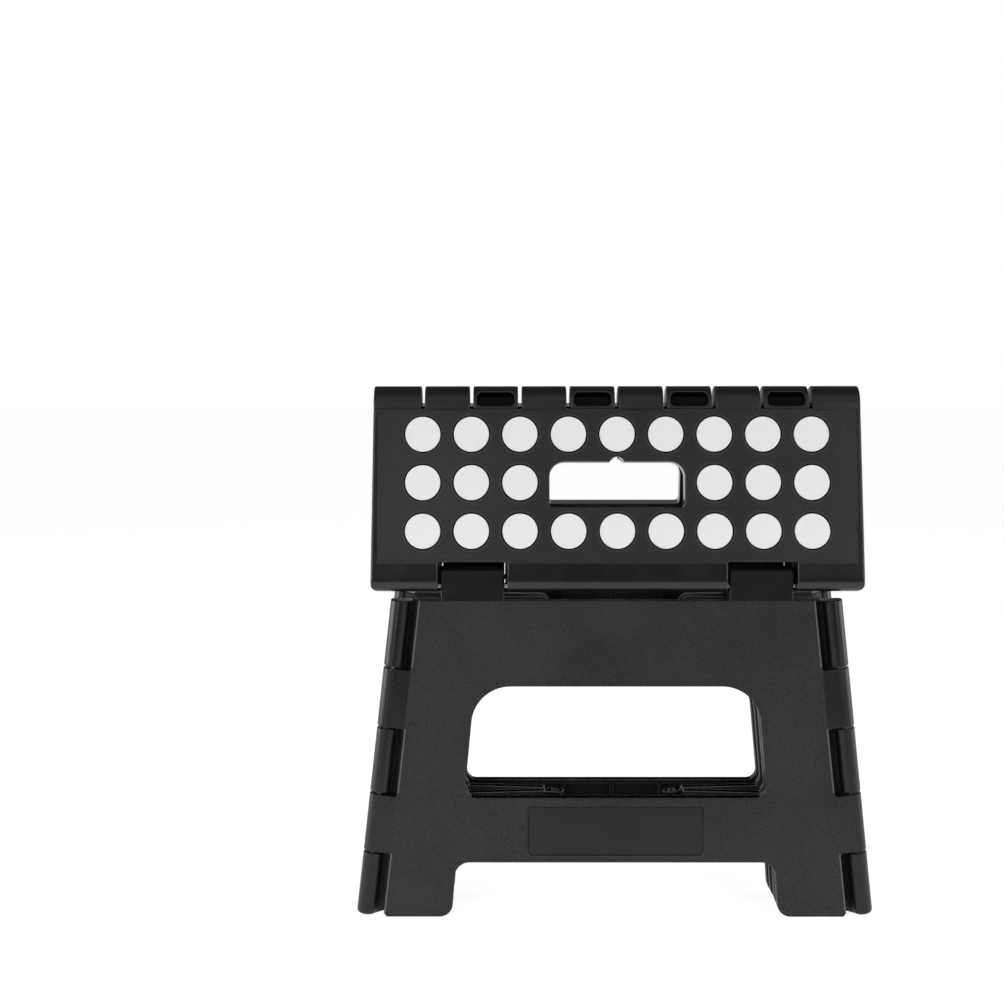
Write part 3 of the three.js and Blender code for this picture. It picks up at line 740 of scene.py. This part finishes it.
def noise_node(tree, vector, scale, detail=3.0, rough=0.5):
    n = tree.nodes.new("ShaderNodeTexNoise")
    n.inputs["Scale"].default_value = scale
    n.inputs["Detail"].default_value = detail
    n.inputs["Roughness"].default_value = rough
    tree.links.new(vector, n.inputs["Vector"])
    return n.outputs["Fac"]


def ramp_node(tree, factor, low, high, a, b):
    n = tree.nodes.new("ShaderNodeMapRange")
    n.clamp = True
    tree.links.new(factor, n.inputs[0])
    for i, v in enumerate((low, high, a, b)):
        n.inputs[i + 1].default_value = v
    return n.outputs[0]


def coords(tree):
    n = tree.nodes.new("ShaderNodeAttribute")
    n.attribute_type = "GEOMETRY"
    n.attribute_name = "flat"
    return n.outputs["Vector"]


def colour_mix(tree, factor, a, b):
    n = tree.nodes.new("ShaderNodeMix")
    n.data_type = "RGBA"
    tree.links.new(factor, n.inputs[0])
    n.inputs[6].default_value = (*a, 1.0)
    n.inputs[7].default_value = (*b, 1.0)
    return n.outputs[2]


def bump_node(tree, height, strength, distance, normal=None):
    n = tree.nodes.new("ShaderNodeBump")
    n.inputs["Strength"].default_value = strength
    n.inputs["Distance"].default_value = distance
    tree.links.new(height, n.inputs["Height"])
    if normal is not None:
        tree.links.new(normal, n.inputs["Normal"])
    return n.outputs[0]


def rounded_edges(tree, radius):
    n = tree.nodes.new("ShaderNodeBevel")
    n.samples = 4
    n.inputs["Radius"].default_value = radius
    return n.outputs[0]


def edge_highlight_mask(tree, bent):
    """1 on rounded edges, 0 on faces: how far the rounded normal turns from the face's own; the mask for painted edge
    highlights.
    """
    own = tree.nodes.new("ShaderNodeNewGeometry")
    dot = tree.nodes.new("ShaderNodeVectorMath")
    dot.operation = "DOT_PRODUCT"
    tree.links.new(own.outputs["True Normal"], dot.inputs[0])
    tree.links.new(bent, dot.inputs[1])
    return ramp_node(tree, dot.outputs["Value"], 0.99, 0.90, 0.0, 1.0)


def colour_towards(tree, factor, a, b):
    n = tree.nodes.new("ShaderNodeMix")
    n.data_type = "RGBA"
    tree.links.new(factor, n.inputs[0])
    tree.links.new(a, n.inputs[6])
    n.inputs[7].default_value = (*b, 1.0)
    return n.outputs[2]


def plastic(name, dark, light, rough_low, rough_high, grain, grain_depth, specular=0.5, edge=0.0005, fine=2.2, sparkle=0.0, painted_edge_highlight=(0.030, 0.030, 0.031), lines=None):
    material, tree, shader = nodes_of(name)
    at = coords(tree)
    cloud = noise_node(tree, at, 0.018, 2.0)
    speck = noise_node(tree, at, fine, 2.0)
    mixed = math_node(tree, "ADD", math_node(tree, "MULTIPLY", cloud, 0.6), math_node(tree, "MULTIPLY", speck, 0.4))
    tone = ramp_node(tree, mixed, 0.35, 0.65, 0.0, 1.0)
    base = rounded_edges(tree, edge)
    body = colour_mix(tree, tone, dark, light)
    # rounded edges are painted towards a paler colour: painted highlight
    body = colour_towards(tree, edge_highlight_mask(tree, base), body, painted_edge_highlight)
    painted_rim_highlight, dull, block = lines(tree, at) if lines else (None, None, None)
    if painted_rim_highlight is not None:
        # hinge blocks painted darker (painted shade); notch rims and the lower label rim painted pale (painted
        # highlight)
        body = colour_towards(tree, math_node(tree, "MULTIPLY", block, 0.7), body, (0.0045, 0.0045, 0.0047))
        body = colour_towards(tree, painted_rim_highlight, body, (0.085, 0.085, 0.086))
    tree.links.new(body, shader.inputs["Base Color"])
    streak = noise_node(tree, at, 0.06, 4.0, 0.6)
    rough = ramp_node(tree, streak, 0.3, 0.7, rough_low, rough_high)
    if block is not None:
        rough = math_node(tree, "MULTIPLY", rough, math_node(tree, "SUBTRACT", 1.0, math_node(tree, "MULTIPLY", block, 0.42)))
    tree.links.new(rough, shader.inputs["Roughness"])
    shader.inputs["Specular IOR Level"].default_value = specular
    if dull is not None:
        tree.links.new(math_node(tree, "MULTIPLY", math_node(tree, "SUBTRACT", 1.0, dull), specular), shader.inputs["Specular IOR Level"])
    sand = noise_node(tree, at, fine, 2.0, 0.55)
    coarse = noise_node(tree, at, fine * 0.35, 2.0, 0.5)
    height = math_node(tree, "ADD", math_node(tree, "MULTIPLY", sand, 0.65), math_node(tree, "MULTIPLY", coarse, 0.35))
    if sparkle:  # grains that catch more or less light
        gloss = ramp_node(tree, sand, 0.34, 0.66, specular - sparkle, specular + sparkle)
        if dull is not None:
            gloss = math_node(tree, "MULTIPLY", gloss, math_node(tree, "SUBTRACT", 1.0, dull))
        tree.links.new(gloss, shader.inputs["Specular IOR Level"])
    if block is not None:
        height = math_node(tree, "MULTIPLY", height, math_node(tree, "SUBTRACT", 1.0, math_node(tree, "MULTIPLY", block, 0.93)))
    tree.links.new(bump_node(tree, height, grain, grain_depth, base), shader.inputs["Normal"])
    return material


def leg_lines(tree, at):
    """Painted highlights on the rims of the barrel notches and on the lower rim of the label recess, the dull outline
    of the recess, the polished hinge blocks.
    """
    split = tree.nodes.new("ShaderNodeSeparateXYZ")
    tree.links.new(at, split.inputs[0])
    x = math_node(tree, "ABSOLUTE", split.outputs[0])
    y, z = split.outputs[1], split.outputs[2]
    wall = math_node(tree, "ADD", x, math_node(tree, "MULTIPLY", z, EDGE_SLOPE))
    wall = math_node(tree, "SUBTRACT", wall, EDGE_X0 - NOTCH_DEPTH)
    near = math_node(tree, "LESS_THAN", math_node(tree, "ABSOLUTE", math_node(tree, "ADD", wall, 0.45)), 0.6)
    zones = None
    for z0, z1 in BARREL_ZONES:
        hit = math_node(tree, "LESS_THAN", math_node(tree, "ABSOLUTE", math_node(tree, "SUBTRACT", z, (z0 + z1) / 2)), (z1 - z0) / 2)
        zones = hit if zones is None else math_node(tree, "MAXIMUM", zones, hit)
    outer = math_node(tree, "LESS_THAN", y, -LEG_FACE_Y + 1.2)
    # notch rims on the outer face: painted highlight
    painted_rim_highlight = math_node(tree, "MULTIPLY", math_node(tree, "MULTIPLY", near, zones), outer)
    # distance to the outline of the label recess
    half, mid, r = (LABEL_Z1 - LABEL_Z0) / 2, (LABEL_Z1 + LABEL_Z0) / 2, 2.6
    a = math_node(tree, "MAXIMUM", math_node(tree, "SUBTRACT", x, LABEL_HALF - r), 0.0)
    up = math_node(tree, "SUBTRACT", z, mid)
    b = math_node(tree, "MAXIMUM", math_node(tree, "SUBTRACT", math_node(tree, "ABSOLUTE", up), half - r), 0.0)
    d = math_node(tree, "SUBTRACT", math_node(tree, "SQRT", math_node(tree, "ADD", math_node(tree, "MULTIPLY", a, a), math_node(tree, "MULTIPLY", b, b))), r)
    # the lower rim of the label recess: a weaker painted highlight
    rim = math_node(tree, "LESS_THAN", math_node(tree, "ABSOLUTE", math_node(tree, "SUBTRACT", d, 0.55)), 0.5)
    lower = math_node(tree, "LESS_THAN", up, 3.0 - half)
    painted_rim_highlight = math_node(tree, "MAXIMUM", painted_rim_highlight, math_node(tree, "MULTIPLY", math_node(tree, "MULTIPLY", rim, lower), 0.16))
    dull = math_node(tree, "MULTIPLY", math_node(tree, "LESS_THAN", math_node(tree, "ABSOLUTE", d), 0.5), 0.72)
    # the hinge blocks beside the notches are polished; plastic() also paints them darker, as painted shade
    block = math_node(tree, "MULTIPLY", math_node(tree, "GREATER_THAN", wall, 0.0), outer)
    return painted_rim_highlight, dull, block


def deck_plastic(name):
    """Smooth margins and fingers; a fine diamond grain on the tread."""
    material, tree, shader = nodes_of(name)
    at = coords(tree)
    split = tree.nodes.new("ShaderNodeSeparateXYZ")
    tree.links.new(at, split.inputs[0])
    x, u, h = split.outputs[0], split.outputs[1], split.outputs[2]
    inside = math_node(tree, "LESS_THAN", math_node(tree, "ABSOLUTE", x), 145.0)
    inside = math_node(tree, "MULTIPLY", inside, math_node(tree, "GREATER_THAN", u, 3.9))
    inside = math_node(tree, "MULTIPLY", inside, math_node(tree, "LESS_THAN", u, 96.8))
    inside = math_node(tree, "MULTIPLY", inside, math_node(tree, "GREATER_THAN", h, DECK_TOP - 0.06))
    k = 2 * math.pi / 1.77
    a = math_node(tree, "SINE", math_node(tree, "MULTIPLY", math_node(tree, "ADD", x, u), k))
    b = math_node(tree, "SINE", math_node(tree, "MULTIPLY", math_node(tree, "SUBTRACT", x, u), k))
    knurl = math_node(tree, "ADD", a, b)
    knurl = ramp_node(tree, knurl, -0.6, 1.6, 0.0, 1.0)
    knurl = math_node(tree, "MULTIPLY", knurl, inside)
    cloud = noise_node(tree, at, 0.02, 2.0)
    speck = noise_node(tree, at, 2.0, 2.0)
    tone = ramp_node(tree, math_node(tree, "ADD", math_node(tree, "MULTIPLY", cloud, 0.6), math_node(tree, "MULTIPLY", speck, 0.4)), 0.35, 0.65, 0.0, 1.0)
    base = rounded_edges(tree, 0.0009)
    body = colour_mix(tree, tone, (0.0050, 0.0050, 0.0053), (0.0095, 0.0095, 0.0098))
    # the raised grain of the tread is painted paler than its valleys, as painted sheen, strongest left of centre and
    # towards the right end
    px = math_node(tree, "DIVIDE", math_node(tree, "ADD", x, 114.0), 48.0)
    pu = math_node(tree, "DIVIDE", math_node(tree, "SUBTRACT", u, 52.0), 42.0)
    sheen_patch = math_node(tree, "SQRT", math_node(tree, "ADD", math_node(tree, "MULTIPLY", px, px), math_node(tree, "MULTIPLY", pu, pu)))
    sheen_patch = math_node(tree, "ADD", ramp_node(tree, sheen_patch, 0.2, 1.5, 0.85, 0.10), ramp_node(tree, x, 70.0, 140.0, 0.0, 0.40))
    body = colour_towards(tree, math_node(tree, "MULTIPLY", knurl, sheen_patch), body, (0.055, 0.055, 0.056))

    def from_stud(v, first):
        v = math_node(tree, "SUBTRACT", v, first)
        return math_node(tree, "SUBTRACT", v, math_node(tree, "MULTIPLY", math_node(tree, "ROUND", math_node(tree, "DIVIDE", v, PITCH)), PITCH))

    rx, ru = from_stud(x, 0.0), from_stud(u, DOT_U0)
    far = math_node(tree, "SQRT", math_node(tree, "ADD", math_node(tree, "MULTIPLY", rx, rx), math_node(tree, "MULTIPLY", ru, ru)))
    top = math_node(tree, "GREATER_THAN", h, DECK_TOP - 0.03)
    middle = math_node(tree, "LESS_THAN", math_node(tree, "ABSOLUTE", math_node(tree, "SUBTRACT", u, DOT_U0 + PITCH)), PITCH / 2)
    middle = math_node(tree, "MULTIPLY", middle, math_node(tree, "LESS_THAN", math_node(tree, "ABSOLUTE", x), 1.5 * PITCH))
    studs = math_node(tree, "LESS_THAN", math_node(tree, "ABSOLUTE", x), 4.5 * PITCH)
    studs = math_node(tree, "MULTIPLY", studs, math_node(tree, "SUBTRACT", 1.0, middle))
    studs = math_node(tree, "MULTIPLY", studs, math_node(tree, "LESS_THAN", u, 91.0))
    studs = math_node(tree, "MULTIPLY", studs, math_node(tree, "GREATER_THAN", u, 4.5))
    # a pale ring on the top face round each stud groove: painted highlight of the rim
    stud_rim_highlight = math_node(tree, "MULTIPLY", ramp_node(tree, far, DOT_HOLE_R + 1.7, DOT_HOLE_R + 0.5, 0.0, 0.6), math_node(tree, "MULTIPLY", top, studs))
    body = colour_towards(tree, stud_rim_highlight, body, (0.048, 0.048, 0.049))
    # the groove round each stud is painted near-black and loses its gloss: painted shade
    groove_shade = math_node(tree, "MULTIPLY", math_node(tree, "LESS_THAN", far, DOT_HOLE_R + 0.38), math_node(tree, "SUBTRACT", 1.0, top))
    groove_shade = math_node(tree, "MULTIPLY", groove_shade, studs)
    # rounded edges painted paler, except in the stud grooves: painted highlight
    painted_edge_highlight = math_node(tree, "MULTIPLY", edge_highlight_mask(tree, base), math_node(tree, "SUBTRACT", 1.0, groove_shade))
    body = colour_towards(tree, painted_edge_highlight, body, (0.060, 0.060, 0.061))
    tree.links.new(colour_towards(tree, groove_shade, body, (0.0006, 0.0006, 0.0006)), shader.inputs["Base Color"])
    smooth = noise_node(tree, at, 0.05, 4.0, 0.6)
    rough = ramp_node(tree, smooth, 0.3, 0.7, 0.19, 0.29)
    rough = math_node(tree, "ADD", rough, math_node(tree, "MULTIPLY", inside, 0.28))
    rough = math_node(tree, "ADD", rough, ramp_node(tree, u, 4.5, 2.5, 0.0, 0.16))
    tree.links.new(rough, shader.inputs["Roughness"])
    height = math_node(tree, "ADD", knurl, math_node(tree, "MULTIPLY", noise_node(tree, at, 0.5, 2.0), 0.10))
    tree.links.new(bump_node(tree, height, 0.8, 0.00042, base), shader.inputs["Normal"])
    # round back of the fingers: duller skin
    finger = math_node(tree, "MULTIPLY", ramp_node(tree, u, 4.5, 2.5, 0.0, 1.0), 0.04)
    finger = math_node(tree, "ADD", finger, math_node(tree, "MULTIPLY", inside, 0.09))
    gloss = math_node(tree, "MULTIPLY", math_node(tree, "SUBTRACT", 0.50, finger), math_node(tree, "SUBTRACT", 1.0, groove_shade))
    tree.links.new(gloss, shader.inputs["Specular IOR Level"])
    return material


def hollow_shade_plastic(name):
    """Near-black, dull walls deep inside the hollow fingers: painted shade."""
    material, tree, shader = nodes_of(name)
    at = coords(tree)
    tone = noise_node(tree, at, 0.5, 3.0)
    tree.links.new(colour_mix(tree, tone, (0.0012, 0.0012, 0.0013), (0.0024, 0.0024, 0.0025)), shader.inputs["Base Color"])
    tree.links.new(ramp_node(tree, tone, 0.3, 0.7, 0.75, 0.9), shader.inputs["Roughness"])
    shader.inputs["Specular IOR Level"].default_value = 0.12
    tree.links.new(bump_node(tree, noise_node(tree, at, 1.4, 3.0), 0.4, 0.0001), shader.inputs["Normal"])
    return material


def pad_rubber(name):
    material, tree, shader = nodes_of(name)
    at = coords(tree)
    tone = noise_node(tree, at, 0.06, 3.0)
    tree.links.new(colour_mix(tree, tone, (0.88, 0.88, 0.875), (0.93, 0.93, 0.93)), shader.inputs["Base Color"])
    tree.links.new(ramp_node(tree, noise_node(tree, at, 0.3, 3.0), 0.3, 0.7, 0.48, 0.62), shader.inputs["Roughness"])
    shader.inputs["Specular IOR Level"].default_value = 0.4
    tree.links.new(bump_node(tree, noise_node(tree, at, 1.2, 3.0), 0.25, 0.00006), shader.inputs["Normal"])
    return material


def steel(name):
    material, tree, shader = nodes_of(name)
    at = coords(tree)
    shader.inputs["Metallic"].default_value = 1.0
    tone = noise_node(tree, at, 0.6, 4.0)
    tree.links.new(colour_mix(tree, tone, (0.50, 0.50, 0.51), (0.68, 0.68, 0.69)), shader.inputs["Base Color"])
    tree.links.new(ramp_node(tree, tone, 0.3, 0.7, 0.16, 0.32), shader.inputs["Roughness"])
    tree.links.new(bump_node(tree, noise_node(tree, at, 3.0, 3.0), 0.2, 0.00003), shader.inputs["Normal"])
    return material


# each plastic's edge colour, given here or the default, is a painted highlight on its rounded edges
LEG = plastic("leg_plastic_sand", (0.0020, 0.0020, 0.0021), (0.0130, 0.0130, 0.0133), 0.46, 0.60, 1.0, 0.00060, specular=0.38, fine=1.3, sparkle=0.085, edge=0.0009, painted_edge_highlight=(0.045, 0.045, 0.046), lines=leg_lines)
SIDE = plastic("side_plastic_sand", (0.0020, 0.0020, 0.0021), (0.0130, 0.0130, 0.0133), 0.46, 0.60, 1.0, 0.00060, specular=0.38, fine=1.3, sparkle=0.085, edge=0.0009, painted_edge_highlight=(0.045, 0.045, 0.046))
# darker, duller plastic for the ribbed inner side behind the label recess: painted shade
RIB_SHADE = plastic("leg_plastic_rib_shade", (0.0014, 0.0014, 0.0015), (0.0040, 0.0040, 0.0042), 0.50, 0.62, 0.6, 0.00025, specular=0.20, fine=1.3, edge=0.0008, painted_edge_highlight=(0.06, 0.06, 0.06))
SMOOTH = plastic("leg_plastic_smooth", (0.0040, 0.0040, 0.0042), (0.0065, 0.0065, 0.0068), 0.27, 0.36, 0.25, 0.00006, specular=0.34, fine=1.2)
PLAQUE = plastic("leg_plastic_plaque", (0.0050, 0.0050, 0.0052), (0.0080, 0.0080, 0.0083), 0.40, 0.48, 0.35, 0.00010, specular=0.33, fine=1.6, lines=leg_lines)
# near-black plastic without gloss for upward faces inside the opening: painted shade; its near-white edge colour paints
# highlights on the bar edges
INNER_SHADE = plastic("leg_plastic_inner_shade", (0.0010, 0.0010, 0.0011), (0.0024, 0.0024, 0.0025), 0.50, 0.62, 0.4, 0.00012, specular=0.0, edge=0.0012, fine=1.2, painted_edge_highlight=(0.85, 0.85, 0.85))
DECK = deck_plastic("deck_plastic_diamond")
# near-black plastic inside the finger windows: painted shade
HOLLOW_SHADE = hollow_shade_plastic("deck_plastic_hollow_shade")
PAD = pad_rubber("pad_rubber_white")
STEEL = steel("pin_steel")


# ------------------------------------------------------------------ pieces
def fold_front(p):
    """Deck coordinates (x, -u, h) to the front half's place, folded."""
    a = math.pi / 2 - FOLD
    c, s = math.cos(a), math.sin(a)
    x, y, z = p[:, 0], p[:, 1], p[:, 2]
    return np.stack([x, y * c - z * s, y * s + z * c + CENTRE_Z], 1)


def turn_z(p):
    return p * np.array([-1.0, -1.0, 1.0])


def piece(name, solid, materials, place, body, node, pick=None, sharp=32.0, flat=None):
    """An object from a solid: place moves it into the frame, flat gives its own coordinates for the materials."""
    mesh = bpy.data.meshes.new(name)
    world = place(solid.points) / 1000.0
    faces = solid.faces
    mesh.from_pydata([tuple(p) for p in world], [], faces)
    mesh.validate()
    mesh.update()
    own = flat(solid.points) if flat else solid.points
    attribute = mesh.attributes.new("flat", "FLOAT_VECTOR", "POINT")
    attribute.data.foreach_set("vector", np.asarray(own, np.float32).ravel())
    for m in materials:
        mesh.materials.append(m)
    if pick is not None:
        index = np.zeros(len(mesh.polygons), np.int32)
        for i, f in enumerate(mesh.polygons):
            centre = solid.points[list(f.vertices)].mean(0)
            index[i] = pick(centre, solid.points[list(f.vertices)])
        mesh.polygons.foreach_set("material_index", index)
    mesh.polygons.foreach_set("use_smooth", np.ones(len(mesh.polygons), bool))
    bm = bmesh.new()
    bm.from_mesh(mesh)
    if sum(1 for _ in bm.faces) and bm.calc_volume(signed=True) < 0:
        bmesh.ops.reverse_faces(bm, faces=bm.faces)
    limit = math.radians(sharp)
    for e in bm.edges:
        if len(e.link_faces) == 2:
            e.smooth = e.calc_face_angle(0.0) < limit
        else:
            e.smooth = False
    bm.to_mesh(mesh)
    bm.free()
    o = bpy.data.objects.new(name, mesh)
    scene.collection.objects.link(o)
    w = o.modifiers.new("weighted", "WEIGHTED_NORMAL")
    w.mode = "FACE_AREA"
    w.keep_sharp = True
    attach(o, body)
    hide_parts(node)
    return o


def same(p):
    return p


def deck_flat(p):
    return np.stack([p[:, 0], -p[:, 1], p[:, 2]], 1)


deck = deck_half()
pads = grip_pad()


def deck_pick(c, pts):
    radius = math.hypot(c[1], c[2])
    far = max(math.hypot(q[1], q[2]) for q in pts)
    seg = None
    for i in OWN[:-1]:
        a, b = segment_x(i)
        if a + FINGER_GAP / 2 + 2.0 < c[0] < b - FINGER_GAP / 2 - 2.0:
            seg = i
    # walls inside the finger windows take the near-black painted-shade material
    if seg is not None and 2.6 < c[1] < 10.4 and radius < BARREL_R - 1.0 and far < BARREL_R + 0.2 and c[2] < 7:
        return 1
    return 0


piece("tread_front_half", deck, [DECK, HOLLOW_SHADE], fold_front, "deck_front", "deck_front_half", deck_pick, flat=deck_flat)
piece("tread_rear_half", deck, [DECK, HOLLOW_SHADE], lambda p: turn_z(fold_front(p)), "deck_rear", "deck_rear_half", deck_pick, flat=deck_flat)
piece("studs_front", pads, [PAD], fold_front, "deck_front", "grip_pad_front", flat=deck_flat, sharp=50)
piece("studs_rear", pads, [PAD], lambda p: turn_z(fold_front(p)), "deck_rear", "grip_pad_rear", flat=deck_flat, sharp=50)

leg = leg_panel()


def upward(pts):
    a, b, c = pts[0], pts[1], pts[2]
    n = np.cross(b - a, c - a)
    return abs(n[2]) > 0.9 * math.sqrt(float(n @ n) + 1e-18)


def leg_pick(c, pts):
    # upward faces inside the opening take the near-black painted-shade material
    if c[1] > -LEG_FACE_Y + 2.0 and 60 < c[2] < 80 and abs(c[0]) < 92 and upward(pts):
        return 3
    if c[2] > LEG_TOP + 0.25 and LUG_X0 - 1 < abs(c[0]) < LUG_X1 + 1:
        return 1
    if abs(c[0]) > notch_x(c[2]) + 0.25:
        return 1
    if abs(c[0]) < LABEL_HALF and LABEL_Z0 < c[2] < LABEL_Z1 and -LEG_FACE_Y + LABEL_DEEP - 0.05 < c[1] < -LEG_FACE_Y + LABEL_DEEP + 0.05:
        return 2
    # the inner ribbed side behind the label takes the darker painted-shade material
    if c[1] > -LEG_FACE_Y + 2.5 and 36 < c[2] < 76 and abs(c[0]) < 92:
        return 4
    return 0


piece("leg_panel_front", leg, [LEG, SMOOTH, PLAQUE, INNER_SHADE, RIB_SHADE], same, "front_leg", "front_leg_panel", leg_pick)
piece("leg_panel_rear", leg, [LEG, SMOOTH, PLAQUE, INNER_SHADE, RIB_SHADE], turn_z, "rear_leg", "rear_leg_panel", leg_pick)

side_a = side_half(KNUCKLES_A)
side_b = side_half(KNUCKLES_B)


def side_pick(c, pts):
    # barrels and knuckles are smooth, the plates keep the sand texture
    # upward faces at the opening's lower edge take the near-black painted-shade material
    if 70 < c[2] < 80 and upward(pts):
        return 2
    n = (c[0] + axis_x(0)) * N.x + c[2] * N.z
    return 1 if n < 7.0 or n > SPAN_N - KNUCKLE_CLEAR + 0.5 else 0


def flip_x(p):
    return p * np.array([-1.0, 1.0, 1.0])


piece("side_panel_left_front", side_a, [SIDE, SMOOTH, INNER_SHADE], same, "side_left_front", "side_left_front", side_pick)
piece("side_panel_right_rear", side_a, [SIDE, SMOOTH, INNER_SHADE], turn_z, "side_right_rear", "side_right_rear", side_pick)
piece("side_panel_right_front", side_b, [SIDE, SMOOTH, INNER_SHADE], flip_x, "side_right_front", "side_right_front", side_pick)
piece("side_panel_left_rear", side_b, [SIDE, SMOOTH, INNER_SHADE], lambda p: turn_z(flip_x(p)), "side_left_rear", "side_left_rear", side_pick)


def pin(name, p0, p1, r, place, body, node):
    piece(name, barrel(p0, p1, r, 0.35, 40, 3), [STEEL], place, body, node)


pin("rod_tread_centre", (-DECK_HALF_IN + 6, 0, 0), (DECK_HALF_IN - 6, 0, 0), 1.98, fold_front, "deck_front", "centre_hinge_rod")
for where, place, body in (("front", same, "front_leg"), ("rear", turn_z, "rear_leg")):
    for side in (-1, 1):
        named = "left" if (side < 0) == (where == "front") else "right"
        a, b = sorted((side * (NOTCH_X0 - 6.2), side * (NOTCH_X1 + 6.2)))
        pin(f"pin_leg_{where}_{named}", (a, -AXIS_Y, LEG_HINGE_Z), (b, -AXIS_Y, LEG_HINGE_Z), 1.73, place, body, f"leg_hinge_pin_{where}_{named}")
        p0, p1 = axis_point(3.0), axis_point(194.8)
        if side > 0:
            p0, p1 = Vector((-p0.x, p0.y, p0.z)), Vector((-p1.x, p1.y, p1.z))
        pin(f"rod_side_{where}_{named}", p0, p1, 1.73, place, body, f"side_rod_{where}_{named}")
for named, place, body in (("left", same, "side_left_front"), ("right", flip_x, "side_right_front")):
    pin(f"pin_side_{named}_lower", mid_point(37.2), mid_point(73.2), 1.73, place, body, f"side_pin_{named}_lower")
    pin(f"pin_side_{named}_upper", mid_point(147.6), mid_point(176.8), 1.73, place, body, f"side_pin_{named}_upper")


# ------------------------------------------------------------------ floor, light, camera
def floor():
    mesh = bpy.data.meshes.new("floor")
    s, front = 6.0, -0.45
    mesh.from_pydata([(-s, front, 0), (s, front, 0), (s, s, 0), (-s, s, 0)], [], [[0, 1, 2, 3]])
    o = bpy.data.objects.new("floor", mesh)
    scene.collection.objects.link(o)
    material, tree, shader = nodes_of("floor_pale")
    shader.inputs["Base Color"].default_value = (0.60, 0.60, 0.60, 1)
    shader.inputs["Emission Color"].default_value = (1.0, 1.0, 1.0, 1)
    shader.inputs["Emission Strength"].default_value = 0.86  # a lit white table
    shader.inputs["Roughness"].default_value = 0.8
    shader.inputs["Specular IOR Level"].default_value = 0.1
    mesh.materials.append(material)


floor()

# white behind, a dim room in front
world = bpy.data.worlds.new("studio")
world.use_nodes = True
tree = world.node_tree
tree.nodes.clear()
around = tree.nodes.new("ShaderNodeTexCoord")
way = tree.nodes.new("ShaderNodeSeparateXYZ")
tree.links.new(around.outputs["Generated"], way.inputs[0])
glow = tree.nodes.new("ShaderNodeBackground")
back = ramp_node(tree, way.outputs[1], 0.1, 0.7, 0.0, 1.0)
low = ramp_node(tree, way.outputs[2], 0.22, 0.42, 1.0, 0.0)
back = math_node(tree, "MULTIPLY", back, low)
tree.links.new(math_node(tree, "MULTIPLY_ADD", back, 0.87, 0.13), glow.inputs["Strength"])
glow.inputs["Color"].default_value = (1.0, 1.0, 1.0, 1.0)
sky = tree.nodes.new("ShaderNodeOutputWorld")
tree.links.new(glow.outputs[0], sky.inputs[0])
scene.world = world


def softbox(name, at, target, width, height, watts):
    light = bpy.data.lights.new(name, "AREA")
    light.shape = "RECTANGLE"
    light.size = width
    light.size_y = height
    light.energy = watts
    o = bpy.data.objects.new(name, light)
    o.location = at
    o.rotation_euler = (Vector(target) - Vector(at)).to_track_quat("-Z", "Y").to_euler()
    scene.collection.objects.link(o)


softbox("left_side", (-1.30, -0.12, 0.20), (0, 0, 0.15), 0.9, 0.36, 7.0)
softbox("right_side", (1.30, -0.12, 0.20), (0, 0, 0.15), 0.9, 0.36, 4.5)
softbox("left_box", (-1.05, -1.75, 0.55), (0, 0, 0.18), 0.75, 1.2, 12.2)
softbox("right_box", (1.15, -1.70, 0.55), (0, 0, 0.18), 0.75, 1.2, 10.7)
softbox("front_top", (0, -1.15, 1.75), (0, 0, 0.2), 1.8, 0.8, 3.2)

camera = bpy.data.cameras.new("camera")
camera.lens = 61.05
camera.sensor_width = 36.0
camera.clip_start = 0.01
eye = bpy.data.objects.new("camera", camera)
eye.location = (-0.0658, -1.0446, 0.3684)
eye.rotation_euler = (math.radians(90 - 6.166), math.radians(0.05), math.radians(0.212))
scene.collection.objects.link(eye)
scene.camera = eye

scene.view_settings.view_transform = "Standard"
